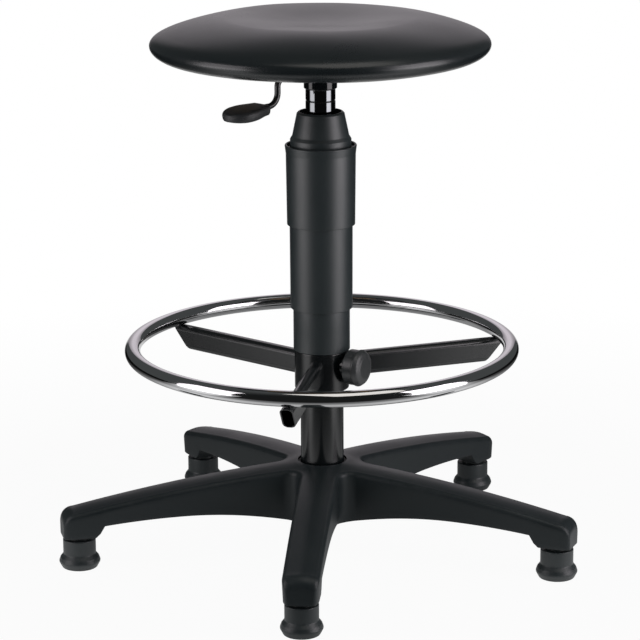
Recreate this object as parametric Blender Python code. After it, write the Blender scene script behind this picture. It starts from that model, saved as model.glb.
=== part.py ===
"""Height-adjustable swivel work stool with a foot ring, on a five-leg base with glides.

Metres, +Z up. The stool's axis is the world Z axis and the floor is z = 0. Azimuths are counted
from +X towards +Y. The seat turns and rises on a gas lift; the foot ring slides on the lift's
stand tube and is held by a clamp knob.
"""

import math

import bmesh
import bpy
from mathutils import Matrix, Vector

# Clearances
FIT = 0.0003
RUN = 0.0005

# Facets of a full turn, by size of the piece
FINE = 28
ROUND = 20
SMALL = 14
TINY = 10
CUSHION_FACETS = 40

# Glides
GLIDE_CIRCLE = 0.2887
GLIDE_HEIGHT = 0.0345
GLIDE_BODY_R = 0.01885
GLIDE_DISC_R = 0.0240
GLIDE_DISC_HEIGHT = 0.0155
GLIDE_EDGE_Z = 0.0075
GLIDE_FOOT_R = 0.0200
GLIDE_NECK_R = 0.0130
GLIDE_NECK_RISE = 0.0037
STEM_R = 0.0055
STEM_IN_GLIDE = 0.0220
STEM_IN_LEG = 0.0230
STEM_WAIST = 0.0006
STEM_RING_BELOW_TOP = 0.0070
STEM_RING_WIDTH = 0.0020

# Base
LEG_COUNT = 5
FIRST_LEG_AZIMUTH = math.radians(265.4)
LEG_TIP_BEYOND_GLIDE = 0.0198
LEG_NOSE = 0.0150
LEG_TOP_AT_HUB = 0.1030
LEG_TOP_AT_HUB_R = 0.0690
LEG_TOP_AT_NOSE = 0.0708
LEG_TOP_CROWN = 0.0030
LEG_NOSE_DROP = 0.0130
LEG_NOSE_NARROWING = 0.0140
LEG_WIDTH_AT_HUB = 0.0450
LEG_WIDTH_AT_TIP = 0.0415
LEG_DRAFT = 0.0010
LEG_EDGE_ROUND = 0.0060
LEG_RIDGE = 0.0020
LEG_ARCH_R = 0.1700
LEG_ARCH_UNDER = 0.0565
LEG_UNDER_DROP_AT_HUB = 0.0210
LEG_UNDER_DROP_AT_BOSS = 0.0048
LEG_WALL = 0.0035
LEG_SKIN = 0.0040
LEG_RIB = 0.0025
LEG_RIB_DEPTH = 0.0080
LEG_CELLS = 4
BOSS_LENGTH = 0.0435
HUB_BOTTOM = 0.0417
HUB_TOP = 0.1070
HUB_CROWN_R = 0.0460
HUB_CROWN_DROP = 0.0030
HUB_WEB_FILLET = 0.0160
HUB_WEB_BELOW_TOP = 0.0055
HUB_WALL = 0.0060
HUB_LEDGE = 0.0025
HUB_LEDGE_WIDTH = 0.0032
SOCKET_GROOVE_R = 0.0098
SOCKET_GROOVE_WIDTH = 0.0055
SOCKET_GROOVE_DEPTH = 0.0220

# Gas lift
COLUMN_R = 0.0250
COLUMN_WALL = 0.0020
COLUMN_BOTTOM = 0.0430
COLUMN_TOP = 0.3380
COLUMN_FLOOR = 0.0030
COLUMN_TAPER = 0.0016
COLUMN_TAPER_TOP = 0.1040
SLEEVE_WALL = 0.0030
LIFT_UP = 0.0650
TUBE_R = 0.0140
TUBE_WALL = 0.0015
TUBE_CONE_LENGTH = 0.0340
TUBE_CONE_TAPER = 0.0008
TUBE_HEAD = 0.0220
TUBE_BELOW_BUSH = 0.0800
BUSH_LENGTH = 0.0770
ROD_R = 0.0050
ROD_NECK_R = 0.0040
ROD_GUIDE_LENGTH = 0.0200
PISTON_LENGTH = 0.0160
PISTON_MARGIN = 0.0050
PISTON_GROOVE = 0.0015
RACE_R = 0.0190
RACE_THICKNESS = 0.0025
BALL_R = 0.0025
BALL_COUNT = 6
BALL_CIRCLE = 0.0125
CAGE_THICKNESS = 0.0012
CAGE_WIDTH = 0.0060
CLIP_R = 0.0085
CLIP_THICKNESS = 0.0008
CLIP_GROOVE = 0.0010
ROD_BELOW_CLIP = 0.0025
VALVE_PIN_R = 0.0035
VALVE_PIN_HEAD_R = 0.0060
VALVE_PIN_HEAD = 0.0040
VALVE_PIN_PROUD = 0.0057
VALVE_TRAVEL = 0.0024

# Seat carrier
SEAT_UNDERSIDE = 0.5775
PLATE_SIDE = 0.1500
PLATE_THICKNESS = 0.0030
PLATE_CORNER = 0.0120
PLATE_HOLE_PITCH = 0.1200
PLATE_BEAD_R = 0.0420
PLATE_BEAD_WIDTH = 0.0080
PLATE_BEAD_HEIGHT = 0.0015
SOCKET_R = 0.0171
SOCKET_LENGTH = 0.0620
SOCKET_HEAD_R = 0.0190
SOCKET_HEAD_HEIGHT = 0.0274
SOCKET_LIP = 0.0015
SOCKET_GROOVE_BELOW_HEAD = 0.0140
SOCKET_GROOVE = 0.0010
SCREW_R = 0.0030
SCREW_HEAD_R = 0.0062
SCREW_HEAD = 0.0035
SCREW_DRIVE_R = 0.0022
SCREW_LENGTH = 0.0120
BOARD_R = 0.1150
BOARD_THICKNESS = 0.0120
BOARD_EDGE = 0.0015
INSERT_R = 0.0048
INSERT_FLANGE_R = 0.0085
INSERT_FLANGE = 0.0012

# Seat cushion
CUSHION_R = 0.1927
CUSHION_WAIST_RISE = 0.0223
CUSHION_TOP_RISE = 0.0274
CUSHION_CROWN_R = 0.1080
CUSHION_TOP_POWER = 1.36
CUSHION_UNDER_FLAT_R = 0.1260
CUSHION_UNDER_POWER = 2.50
CUSHION_DISH = 0.0070

# Release lever
LEVER_AZIMUTH = math.radians(225.0)
LEVER_R = 0.0035
LEVER_PIVOT_R = 0.0250
LEVER_BELOW_PLATE = 0.0097
LEVER_KNEE_R = 0.0676
LEVER_KNEE_BEND = 0.0085
LEVER_DROP = 0.0290
LEVER_FOOT_BEND = 0.0140
LEVER_PAST_AXIS = 0.0050
LEVER_SWING = math.radians(5.5)
PIVOT_PIN_R = 0.0015
EAR_THICKNESS = 0.0020
EAR_LENGTH = 0.0120
EAR_BELOW_PIN = 0.0035
PADDLE_START_R = 0.0920
PADDLE_LENGTH = 0.0530
PADDLE_WIDTH = 0.0420
PADDLE_TOP_ABOVE_ROD = 0.0046
PADDLE_UNDER_BELOW_ROD = 0.0068
PADDLE_BELLY = 0.0014
PADDLE_FALL = 0.0045
PADDLE_NECK_WIDTH = 0.0240
PADDLE_BORE = 0.0160

# Telescopic cover
CAP_BELOW_HEAD = 0.0269
CAP_TOP_R = 0.0262
CAP_BASE_R = 0.0350
CAP_HEIGHT = 0.0316
CAP_WALL = 0.0020
CAP_WEB_BELOW_TOP = 0.0070
CAP_SKIRT = 0.0160
CAP_SKIRT_WALL = 0.0012
CAP_BAND = 0.0100
CAP_BAND_IN_UPPER = 0.0035
CAP_BAND_EDGE = 0.0040
UPPER_LENGTH = 0.0926
UPPER_BOTTOM_R = 0.03905
UPPER_TOP_R = 0.03995
UPPER_RIM_R = 0.04115
UPPER_RIM_HEIGHT = 0.0100
UPPER_BORE_R = 0.0371
COVER_LIP = 0.0030
MIDDLE_BOTTOM_R = 0.0358
MIDDLE_TOP_R = 0.0363
MIDDLE_WALL = 0.0020
MIDDLE_LAP = 0.0420
LOWER_R = 0.03265
LOWER_WALL = 0.0017
LOWER_LAP = 0.0495
LOWER_FLANGE = 0.0020

# Foot ring
RING_R = 0.21875
RING_TUBE_R = 0.0090
RING_HEIGHT = 0.2431
RING_FACETS = 52
RING_TUBE_FACETS = 10
ARM_COUNT = 3
FIRST_ARM_AZIMUTH = math.radians(260.0)
ARM_WIDTH = 0.0150
ARM_HEIGHT = 0.0280
ARM_CORNER = 0.0060
ARM_WALL = 0.0015
ARM_END_SLANT = 0.0250
ARM_BEYOND_RING = 0.0100
RING_HUB_R = 0.0315
RING_HUB_HEIGHT = 0.0460
RING_HUB_BELOW_RING = 0.0020
RING_HUB_WALL = 0.0032
RING_BUSH_HEIGHT = 0.0150
RING_BUSH_INSET = 0.0010

# Clamp
CLAMP_AZIMUTH = math.radians(330.0)
CLAMP_BELOW_TOP = 0.0170
CLAMP_PAD_R = 0.0049
CLAMP_PAD_THICKNESS = 0.0024
CLAMP_SCREW_R = 0.0040
CLAMP_NUT_R = 0.0113
CLAMP_NUT_LENGTH = 0.0147
CLAMP_NUT_ROOT = 0.0020
CLAMP_KNOB_R = 0.0215
CLAMP_KNOB_THICKNESS = 0.0100
CLAMP_KNOB_GAP = 0.0015
CLAMP_KNOB_ROUND = 0.0030
CLAMP_KNOB_BORE = 0.0075

# Levels that follow from the sizes above
LEG_BOTTOM = GLIDE_HEIGHT + GLIDE_NECK_RISE + FIT
PLATE_TOP = SEAT_UNDERSIDE - FIT
PLATE_BOTTOM = PLATE_TOP - PLATE_THICKNESS
SOCKET_TOP = PLATE_BOTTOM - FIT
HEAD_BOTTOM = SOCKET_TOP - SOCKET_HEAD_HEIGHT
SOCKET_BOTTOM = SOCKET_TOP - SOCKET_LENGTH
LEVER_Z = PLATE_BOTTOM - LEVER_BELOW_PLATE
VALVE_PIN_TOP = LEVER_Z - LEVER_R - FIT
TUBE_TOP = VALVE_PIN_TOP - VALVE_PIN_PROUD
BUSH_BOTTOM = COLUMN_TOP - BUSH_LENGTH
TUBE_BOTTOM = BUSH_BOTTOM - TUBE_BELOW_BUSH
PISTON_BOTTOM = TUBE_BOTTOM + ROD_GUIDE_LENGTH + LIFT_UP + PISTON_MARGIN
FLOOR_TOP = COLUMN_BOTTOM + COLUMN_FLOOR
LOWER_RACE_TOP = FLOOR_TOP + FIT + RACE_THICKNESS
UPPER_RACE_BOTTOM = LOWER_RACE_TOP + 2 * BALL_R + 2 * FIT
UPPER_RACE_TOP = UPPER_RACE_BOTTOM + RACE_THICKNESS
CLIP_TOP = COLUMN_BOTTOM - FIT
RING_HUB_TOP = RING_HEIGHT - RING_HUB_BELOW_RING
RING_HUB_BOTTOM = RING_HUB_TOP - RING_HUB_HEIGHT
CLAMP_Z = RING_HUB_TOP - CLAMP_BELOW_TOP
CAP_TOP = HEAD_BOTTOM - CAP_BELOW_HEAD
CAP_BASE = CAP_TOP - CAP_HEIGHT
CAP_SHOULDER = CAP_BASE - CAP_BAND
UPPER_TOP = CAP_SHOULDER + CAP_BAND_IN_UPPER
CAP_SKIRT_BOTTOM = CAP_SHOULDER - CAP_SKIRT
UPPER_LEDGE = CAP_SKIRT_BOTTOM - FIT
UPPER_BOTTOM = UPPER_TOP - UPPER_LENGTH
LOWER_TOP = COLUMN_TOP + FIT + LOWER_FLANGE
LOWER_BOTTOM = RING_HUB_TOP + FIT
MIDDLE_BOTTOM = LOWER_TOP - LOWER_LAP
MIDDLE_TOP = UPPER_BOTTOM + MIDDLE_LAP
CUSHION_WAIST = SEAT_UNDERSIDE + CUSHION_WAIST_RISE
CUSHION_CROWN = CUSHION_WAIST + CUSHION_TOP_RISE
SLEEVE_OUTER_R = COLUMN_R + FIT + SLEEVE_WALL
HUB_BORE_R = SLEEVE_OUTER_R + FIT
LEG_TIP_R = GLIDE_CIRCLE + LEG_TIP_BEYOND_GLIDE


def clear_scene():
    for item in list(bpy.data.objects):
        bpy.data.objects.remove(item, do_unlink=True)


def make_material(name, colour, roughness, metallic=0.0):
    """Principled material with one colour, roughness and metallic value."""
    made = bpy.data.materials.new(name)
    made.use_nodes = True
    shader = made.node_tree.nodes["Principled BSDF"]
    shader.inputs["Base Color"].default_value = (*colour, 1.0)
    shader.inputs["Roughness"].default_value = roughness
    shader.inputs["Metallic"].default_value = metallic
    made.diffuse_color = (*colour, 1.0)
    return made


def make_empty(name, location=(0, 0, 0), turn_z=0.0, parent=None):
    """Empty that marks a joint axis; its +X looks outwards at the given azimuth."""
    empty = bpy.data.objects.new(name, None)
    empty.empty_display_size = 0.02
    empty.location = location
    empty.rotation_euler = (0, 0, turn_z)
    empty.parent = parent
    bpy.context.collection.objects.link(empty)
    return empty


def add_node(name, solid, material, parent=None, location=(0, 0, 0), turn_z=0.0):
    """Turn a bmesh into a named object with one material and smooth round faces."""
    mesh = bpy.data.meshes.new(name)
    solid.to_mesh(mesh)
    solid.free()
    mesh.materials.append(material)
    mesh.shade_smooth()
    mesh.set_sharp_from_angle(angle=math.radians(35))
    made = bpy.data.objects.new(name, mesh)
    made.location = location
    made.rotation_euler = (0, 0, turn_z)
    made.parent = parent
    bpy.context.collection.objects.link(made)
    return made


def copy_node(source, name, location, turn_z):
    """Second object that shares the first one's mesh."""
    made = source.copy()
    made.name = name
    made.location = location
    made.rotation_euler = (0, 0, turn_z)
    bpy.context.collection.objects.link(made)
    return made


def lathe(outline, facets=FINE):
    """Solid of revolution about Z from an outline of (radius, height) points.

    An outline that starts and ends on the axis makes a solid body, any other one a ring.
    """
    solid = bmesh.new()
    verts = [solid.verts.new((radius, 0.0, height)) for radius, height in outline]
    pairs = list(zip(verts, verts[1:]))
    if outline[0][0] > 0 or outline[-1][0] > 0:
        pairs.append((verts[-1], verts[0]))
    edges = [solid.edges.new(pair) for pair in pairs]
    bmesh.ops.spin(solid, geom=verts + edges, cent=(0, 0, 0), axis=(0, 0, 1),
                   angle=2 * math.pi, steps=facets, use_merge=True)
    bmesh.ops.remove_doubles(solid, verts=solid.verts, dist=1e-6)
    bmesh.ops.recalc_face_normals(solid, faces=solid.faces)
    return solid


def ring_outline(inner, outer, bottom, top):
    return [(inner, bottom), (outer, bottom), (outer, top), (inner, top)]


def loft(sections, capped=True):
    """Skin closed rings of points, with the first and last ring capped."""
    solid = bmesh.new()
    rings = [[solid.verts.new(point) for point in section] for section in sections]
    count = len(rings[0])
    for near, far in zip(rings, rings[1:]):
        for i in range(count):
            j = (i + 1) % count
            solid.faces.new((near[i], near[j], far[j], far[i]))
    if capped:
        solid.faces.new(rings[0][::-1])
        solid.faces.new(rings[-1])
    bmesh.ops.recalc_face_normals(solid, faces=solid.faces)
    return solid


def tube_loft(outer_sections, inner_sections):
    """Open-ended tube from an outer and an inner run of rings."""
    loop = outer_sections + inner_sections[::-1] + [outer_sections[0]]
    solid = bmesh.new()
    rings = [[solid.verts.new(point) for point in section] for section in loop[:-1]]
    rings.append(rings[0])
    count = len(rings[0])
    for near, far in zip(rings, rings[1:]):
        for i in range(count):
            j = (i + 1) % count
            solid.faces.new((near[i], near[j], far[j], far[i]))
    bmesh.ops.recalc_face_normals(solid, faces=solid.faces)
    return solid


def prism(outline, bottom, top):
    """Upright prism over a plan outline of (x, y) points."""
    return loft([[(x, y, level) for x, y in outline] for level in (bottom, top)])


def moved(solid, matrix):
    bmesh.ops.transform(solid, matrix=matrix, verts=solid.verts)
    return solid


def turned(solid, azimuth):
    return moved(solid, Matrix.Rotation(azimuth, 4, "Z"))


def laid_along_x(solid):
    """Turn a body of revolution from the Z axis onto the +X axis."""
    return moved(solid, Matrix.Rotation(math.radians(90), 4, "Y"))


def gather(solids):
    """Put several separate bodies in one bmesh, to be used together as a cutter."""
    joined = bmesh.new()
    for solid in solids:
        mesh = bpy.data.meshes.new("gathered")
        solid.to_mesh(mesh)
        solid.free()
        joined.from_mesh(mesh)
        bpy.data.meshes.remove(mesh)
    return joined


def boolean(body, tool, operation):
    """Exact Boolean of two bmeshes; both are used up and the result is returned."""
    parts = []
    for solid in (body, tool):
        mesh = bpy.data.meshes.new("operand")
        solid.to_mesh(mesh)
        solid.free()
        item = bpy.data.objects.new("operand", mesh)
        bpy.context.collection.objects.link(item)
        parts.append(item)
    parts[1].hide_render = True
    parts[1].display_type = "WIRE"
    step = parts[0].modifiers.new("boolean", "BOOLEAN")
    step.operation = operation
    step.object = parts[1]
    step.solver = "EXACT"
    seen = parts[0].evaluated_get(bpy.context.evaluated_depsgraph_get())
    result = bmesh.new()
    result.from_mesh(seen.to_mesh())
    seen.to_mesh_clear()
    for item in parts:
        mesh = item.data
        bpy.data.objects.remove(item, do_unlink=True)
        bpy.data.meshes.remove(mesh)
    bmesh.ops.remove_doubles(result, verts=result.verts, dist=1e-6)
    bmesh.ops.dissolve_degenerate(result, edges=result.edges, dist=1e-6)
    return result


def cut(body, tools):
    return boolean(body, gather(tools), "DIFFERENCE")


def join(body, tools):
    for tool in tools:
        body = boolean(body, tool, "UNION")
    return body


def leg_azimuth(index):
    return FIRST_LEG_AZIMUTH + index * 2 * math.pi / LEG_COUNT


def arm_azimuth(index):
    return FIRST_ARM_AZIMUTH + index * 2 * math.pi / ARM_COUNT


def at_azimuth(radius, azimuth, height=0.0):
    return (radius * math.cos(azimuth), radius * math.sin(azimuth), height)


def leg_top(radius):
    """Height of a leg's ridge: a straight fall from the hub to the nose plus a low crown."""
    nose = LEG_TIP_R - LEG_NOSE
    t = (radius - LEG_TOP_AT_HUB_R) / (nose - LEG_TOP_AT_HUB_R)
    line = LEG_TOP_AT_HUB + t * (LEG_TOP_AT_NOSE - LEG_TOP_AT_HUB)
    return line + LEG_TOP_CROWN * 4 * t * (1 - t)


def leg_under(radius):
    """Height of a leg's lower edge: an arch that falls to the hub and to the tip boss."""
    boss = LEG_TIP_R - BOSS_LENGTH
    if radius < LEG_ARCH_R:
        t = (LEG_ARCH_R - radius) / (LEG_ARCH_R - COLUMN_R)
        return max(HUB_BOTTOM, LEG_ARCH_UNDER - LEG_UNDER_DROP_AT_HUB * t * t)
    t = (radius - LEG_ARCH_R) / (boss - LEG_ARCH_R)
    return LEG_ARCH_UNDER - LEG_UNDER_DROP_AT_BOSS * t * t


def leg_width(radius):
    t = radius / (LEG_TIP_R - LEG_NOSE)
    return LEG_WIDTH_AT_HUB + t * (LEG_WIDTH_AT_TIP - LEG_WIDTH_AT_HUB)


def leg_section(radius, width, bottom, top):
    """Cross-section of a leg: drafted sides, rounded upper edges and a low ridge."""
    half = width / 2
    edge = LEG_EDGE_ROUND
    foot = half - LEG_DRAFT
    side = [(foot, bottom), (half, top - edge - LEG_RIDGE)]
    side += [(half - 0.25 * edge, top - 0.35 * edge - LEG_RIDGE)]
    side += [(half - edge, top - LEG_RIDGE), (half / 2, top - 0.3 * LEG_RIDGE)]
    outline = side + [(0.0, top)] + [(-y, z) for y, z in side[::-1]]
    return [(radius, y, z) for y, z in outline]


def leg_solid():
    """One leg along +X, from inside the hub to its rounded nose, with the boss at its tip."""
    boss = LEG_TIP_R - BOSS_LENGTH
    nose = LEG_TIP_R - LEG_NOSE
    start = HUB_BORE_R + 0.5 * HUB_WALL
    sections = []
    for step in range(5):
        radius = start + (boss - start) * step / 4
        sections.append(leg_section(radius, leg_width(radius), leg_under(radius), leg_top(radius)))
    for radius in (boss + 0.004, nose):
        sections.append(leg_section(radius, leg_width(radius), LEG_BOTTOM, leg_top(radius)))
    for turn in (30, 60, 85):
        bend = 1 - math.cos(math.radians(turn))
        radius = nose + LEG_NOSE * math.sin(math.radians(turn))
        width = LEG_WIDTH_AT_TIP - LEG_NOSE_NARROWING * bend
        sections.append(leg_section(radius, width, LEG_BOTTOM, LEG_TOP_AT_NOSE - LEG_NOSE_DROP * bend))
    return loft(sections)


def leg_cell(near, far):
    """Cutter for one open pocket under a leg, between two cross ribs and round a low centre rib."""
    sections = []
    for radius in (near, far):
        outer = leg_width(radius) / 2 - LEG_WALL
        top = leg_top(radius) - LEG_SKIN
        side = [(LEG_RIB / 2, top - LEG_RIB_DEPTH), (LEG_RIB / 2, top),
                (outer - LEG_EDGE_ROUND, top - LEG_RIDGE),
                (outer, top - LEG_RIDGE - LEG_EDGE_ROUND), (outer - LEG_DRAFT, 0.0)]
        sections.append([(radius, y, z) for y, z in side + [(-y, z) for y, z in side[::-1]]])
    return loft(sections)


def leg_pockets():
    """All pockets under one leg, one behind the other."""
    start = HUB_BORE_R + HUB_WALL
    end = LEG_TIP_R - BOSS_LENGTH - LEG_WALL
    pitch = (end - start + LEG_RIB) / LEG_CELLS
    return [leg_cell(start + cell * pitch, start + (cell + 1) * pitch - LEG_RIB)
            for cell in range(LEG_CELLS)]


def hub_web_outline():
    """Plan of the hub: concave fillets that run into the sides of neighbouring legs."""
    half_angle = math.pi / LEG_COUNT
    half_width = LEG_WIDTH_AT_HUB / 2 - LEG_DRAFT
    centre = (half_width + HUB_WEB_FILLET) / math.sin(half_angle)
    outline = []
    for index in range(LEG_COUNT):
        middle = leg_azimuth(index) + half_angle
        cx, cy = centre * math.cos(middle), centre * math.sin(middle)
        sweep = math.pi / 2 - half_angle
        for step in range(6):
            turn = middle + math.pi + sweep * (1 - 2 * step / 5)
            outline.append((cx + HUB_WEB_FILLET * math.cos(turn), cy + HUB_WEB_FILLET * math.sin(turn)))
    return outline


def make_base(plastic, steel, parent):
    star = lathe([(COLUMN_R, HUB_BOTTOM + 0.001), (HUB_CROWN_R, HUB_BOTTOM + 0.001),
                  (HUB_CROWN_R, HUB_TOP - HUB_CROWN_DROP), (HUB_BORE_R + 0.003, HUB_TOP),
                  (COLUMN_R, HUB_TOP)])
    web = prism(hub_web_outline(), HUB_BOTTOM, HUB_TOP - HUB_WEB_BELOW_TOP)
    legs = [turned(leg_solid(), leg_azimuth(index)) for index in range(LEG_COUNT)]
    star = join(star, [web] + legs)
    ledge = HUB_BOTTOM + HUB_LEDGE
    ledge_r = HUB_BORE_R - HUB_LEDGE_WIDTH
    cutters = [lathe([(0.0, 0.0), (ledge_r, 0.0), (ledge_r, ledge), (HUB_BORE_R, ledge),
                      (HUB_BORE_R, HUB_TOP + 0.01), (0.0, HUB_TOP + 0.01)])]
    for index in range(LEG_COUNT):
        cutters += [turned(pocket, leg_azimuth(index)) for pocket in leg_pockets()]
        place = Matrix.Translation(at_azimuth(GLIDE_CIRCLE, leg_azimuth(index)))
        bore = lathe([(0.0, 0.0), (STEM_R + FIT, 0.0), (STEM_R + FIT, LEG_BOTTOM + STEM_IN_LEG),
                      (0.0, LEG_BOTTOM + STEM_IN_LEG)], SMALL)
        inner = SOCKET_GROOVE_R
        outer = SOCKET_GROOVE_R + SOCKET_GROOVE_WIDTH
        groove = lathe(ring_outline(inner, outer, 0.0, LEG_BOTTOM + SOCKET_GROOVE_DEPTH), SMALL)
        cutters += [moved(bore, place), moved(groove, place)]
    star = cut(star, cutters)
    add_node("base_star", star, plastic, parent)

    bottom = HUB_BOTTOM + HUB_LEDGE + FIT
    top = HUB_TOP - 0.001
    bore_low = column_radius(bottom) + FIT
    sleeve = lathe([(bore_low, bottom), (SLEEVE_OUTER_R, bottom), (SLEEVE_OUTER_R, top),
                    (COLUMN_R + FIT, top), (COLUMN_R + FIT, COLUMN_TAPER_TOP)])
    add_node("base_sleeve", sleeve, steel, parent)


def column_radius(height):
    """Outer radius of the stand tube, which tapers where it sits in the base."""
    t = (height - COLUMN_BOTTOM) / (COLUMN_TAPER_TOP - COLUMN_BOTTOM)
    return COLUMN_R - COLUMN_TAPER * (1 - min(1.0, max(0.0, t)))


def make_glides(plastic, steel):
    """Five glides, each turning on its own steel stem under a leg tip."""
    outline = [(0.0, 0.0), (GLIDE_FOOT_R, 0.0), (GLIDE_DISC_R, GLIDE_EDGE_Z),
               (GLIDE_DISC_R - 0.0015, 0.75 * GLIDE_DISC_HEIGHT),
               (GLIDE_BODY_R, GLIDE_DISC_HEIGHT + 0.0015),
               (GLIDE_BODY_R, GLIDE_HEIGHT - 0.001), (GLIDE_BODY_R - 0.001, GLIDE_HEIGHT),
               (GLIDE_NECK_R, GLIDE_HEIGHT), (GLIDE_NECK_R, GLIDE_HEIGHT + GLIDE_NECK_RISE),
               (STEM_R + FIT, GLIDE_HEIGHT + GLIDE_NECK_RISE)]
    floor = GLIDE_HEIGHT + GLIDE_NECK_RISE - STEM_IN_GLIDE
    outline += [(STEM_R + FIT, floor), (0.0, floor)]
    stem_bottom = floor + FIT
    stem_top = LEG_BOTTOM + STEM_IN_LEG - FIT
    ring = stem_top - STEM_RING_BELOW_TOP
    waist = STEM_R - STEM_WAIST
    stem_outline = [(0.0, stem_bottom), (STEM_R, stem_bottom), (STEM_R, ring - STEM_RING_WIDTH),
                    (waist, ring - STEM_RING_WIDTH), (waist, ring), (STEM_R, ring),
                    (STEM_R, stem_top - 0.0015), (STEM_R - 0.0015, stem_top), (0.0, stem_top)]
    first_glide = None
    first_stem = None
    for index in range(LEG_COUNT):
        place = at_azimuth(GLIDE_CIRCLE, leg_azimuth(index))
        turn = leg_azimuth(index)
        if index == 0:
            first_glide = add_node("glide_1", lathe(outline, ROUND), plastic, None, place, turn)
            first_stem = add_node("glide_stem_1", lathe(stem_outline, TINY), steel, None, place, turn)
        else:
            copy_node(first_glide, f"glide_{index + 1}", place, turn)
            copy_node(first_stem, f"glide_stem_{index + 1}", place, turn)


def make_stand(paint, steel, plastic, parent):
    """Stand tube with its guide bush and the fixed race of its thrust bearing."""
    inner = COLUMN_R - COLUMN_WALL
    low = COLUMN_R - COLUMN_TAPER
    hole = ROD_NECK_R + 2 * FIT
    column = lathe([(hole, COLUMN_BOTTOM), (low - 0.001, COLUMN_BOTTOM), (low, COLUMN_BOTTOM + 0.001),
                    (COLUMN_R, COLUMN_TAPER_TOP), (COLUMN_R, COLUMN_TOP - 0.0005),
                    (COLUMN_R - 0.0005, COLUMN_TOP), (inner, COLUMN_TOP),
                    (inner, COLUMN_TAPER_TOP), (low - COLUMN_WALL, FLOOR_TOP), (hole, FLOOR_TOP)])
    add_node("column", column, paint, parent)

    bush_top = COLUMN_TOP
    bush = lathe([(TUBE_R + FIT, BUSH_BOTTOM), (inner - FIT, BUSH_BOTTOM), (inner - FIT, bush_top),
                  (TUBE_R + 0.0012, bush_top), (TUBE_R + FIT, bush_top - 0.0012)], ROUND)
    add_node("guide_bush", bush, plastic, parent)

    race = lathe(race_outline(FLOOR_TOP + FIT, hole, groove_up=True), ROUND)
    add_node("bearing_lower_race", race, steel, parent)


def race_outline(bottom, bore, groove_up):
    """Flat bearing race with a shallow track for the balls on one face."""
    top = bottom + RACE_THICKNESS
    track = 0.0004
    near = BALL_CIRCLE - 0.0015
    far = BALL_CIRCLE + 0.0015
    if groove_up:
        return [(bore, bottom), (RACE_R, bottom), (RACE_R, top), (far, top),
                (BALL_CIRCLE, top - track), (near, top), (bore, top)]
    return [(bore, bottom), (near, bottom), (BALL_CIRCLE, bottom + track), (far, bottom),
            (RACE_R, bottom), (RACE_R, top), (bore, top)]


def make_rod(steel, plastic, parent):
    """Piston rod with its piston, the turning race, the balls in their cage and the clip."""
    rod_top = PISTON_BOTTOM + PISTON_LENGTH + FIT
    neck_top = UPPER_RACE_TOP + FIT
    clip_bottom = CLIP_TOP - CLIP_THICKNESS
    groove_r = ROD_NECK_R - CLIP_GROOVE
    end = clip_bottom - FIT - ROD_BELOW_CLIP
    rod = lathe([(0.0, end), (ROD_NECK_R - 0.0008, end), (ROD_NECK_R, end + 0.0008),
                 (ROD_NECK_R, clip_bottom - FIT), (groove_r, clip_bottom - FIT),
                 (groove_r, CLIP_TOP + FIT / 2), (ROD_NECK_R, CLIP_TOP + FIT / 2),
                 (ROD_NECK_R, neck_top), (ROD_R, neck_top), (ROD_R, PISTON_BOTTOM - FIT),
                 (ROD_NECK_R, PISTON_BOTTOM - FIT), (ROD_NECK_R, rod_top), (0.0, rod_top)], SMALL)
    add_node("piston_rod", rod, steel, parent)

    bore = TUBE_R - TUBE_WALL - FIT
    middle = PISTON_BOTTOM + PISTON_LENGTH / 2
    groove = 0.0015
    piston = lathe([(ROD_NECK_R + FIT, PISTON_BOTTOM), (bore, PISTON_BOTTOM), (bore, middle - groove),
                    (bore - PISTON_GROOVE, middle - groove), (bore - PISTON_GROOVE, middle + groove),
                    (bore, middle + groove), (bore, PISTON_BOTTOM + PISTON_LENGTH),
                    (ROD_NECK_R + FIT, PISTON_BOTTOM + PISTON_LENGTH)], SMALL)
    add_node("piston", piston, plastic, parent)

    race = lathe(race_outline(UPPER_RACE_BOTTOM, ROD_NECK_R + FIT, groove_up=False), ROUND)
    add_node("bearing_upper_race", race, steel, parent)

    middle = LOWER_RACE_TOP + FIT + BALL_R
    half = CAGE_THICKNESS / 2
    cage = lathe(ring_outline(BALL_CIRCLE - CAGE_WIDTH / 2, BALL_CIRCLE + CAGE_WIDTH / 2,
                              middle - half, middle + half), SMALL)
    balls = []
    for index in range(BALL_COUNT):
        turn = (index + 0.5) * 2 * math.pi / BALL_COUNT
        ball = bmesh.new()
        bmesh.ops.create_icosphere(ball, subdivisions=1, radius=BALL_R)
        balls.append(moved(ball, Matrix.Translation(at_azimuth(BALL_CIRCLE, turn, middle))))
    cage = join(cage, [gather(balls)])
    add_node("bearing_balls", cage, steel, parent)

    outer = CLIP_R
    slot = 1.1
    turns = [slot / 2 + (2 * math.pi - slot) * step / SMALL for step in range(SMALL + 1)]
    bore = groove_r + FIT
    outline = [(outer * math.cos(turn), outer * math.sin(turn)) for turn in turns]
    outline += [(bore * math.cos(turn), bore * math.sin(turn)) for turn in turns[::-1]]
    add_node("retaining_clip", prism(outline, clip_bottom, CLIP_TOP), steel, parent)


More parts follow.
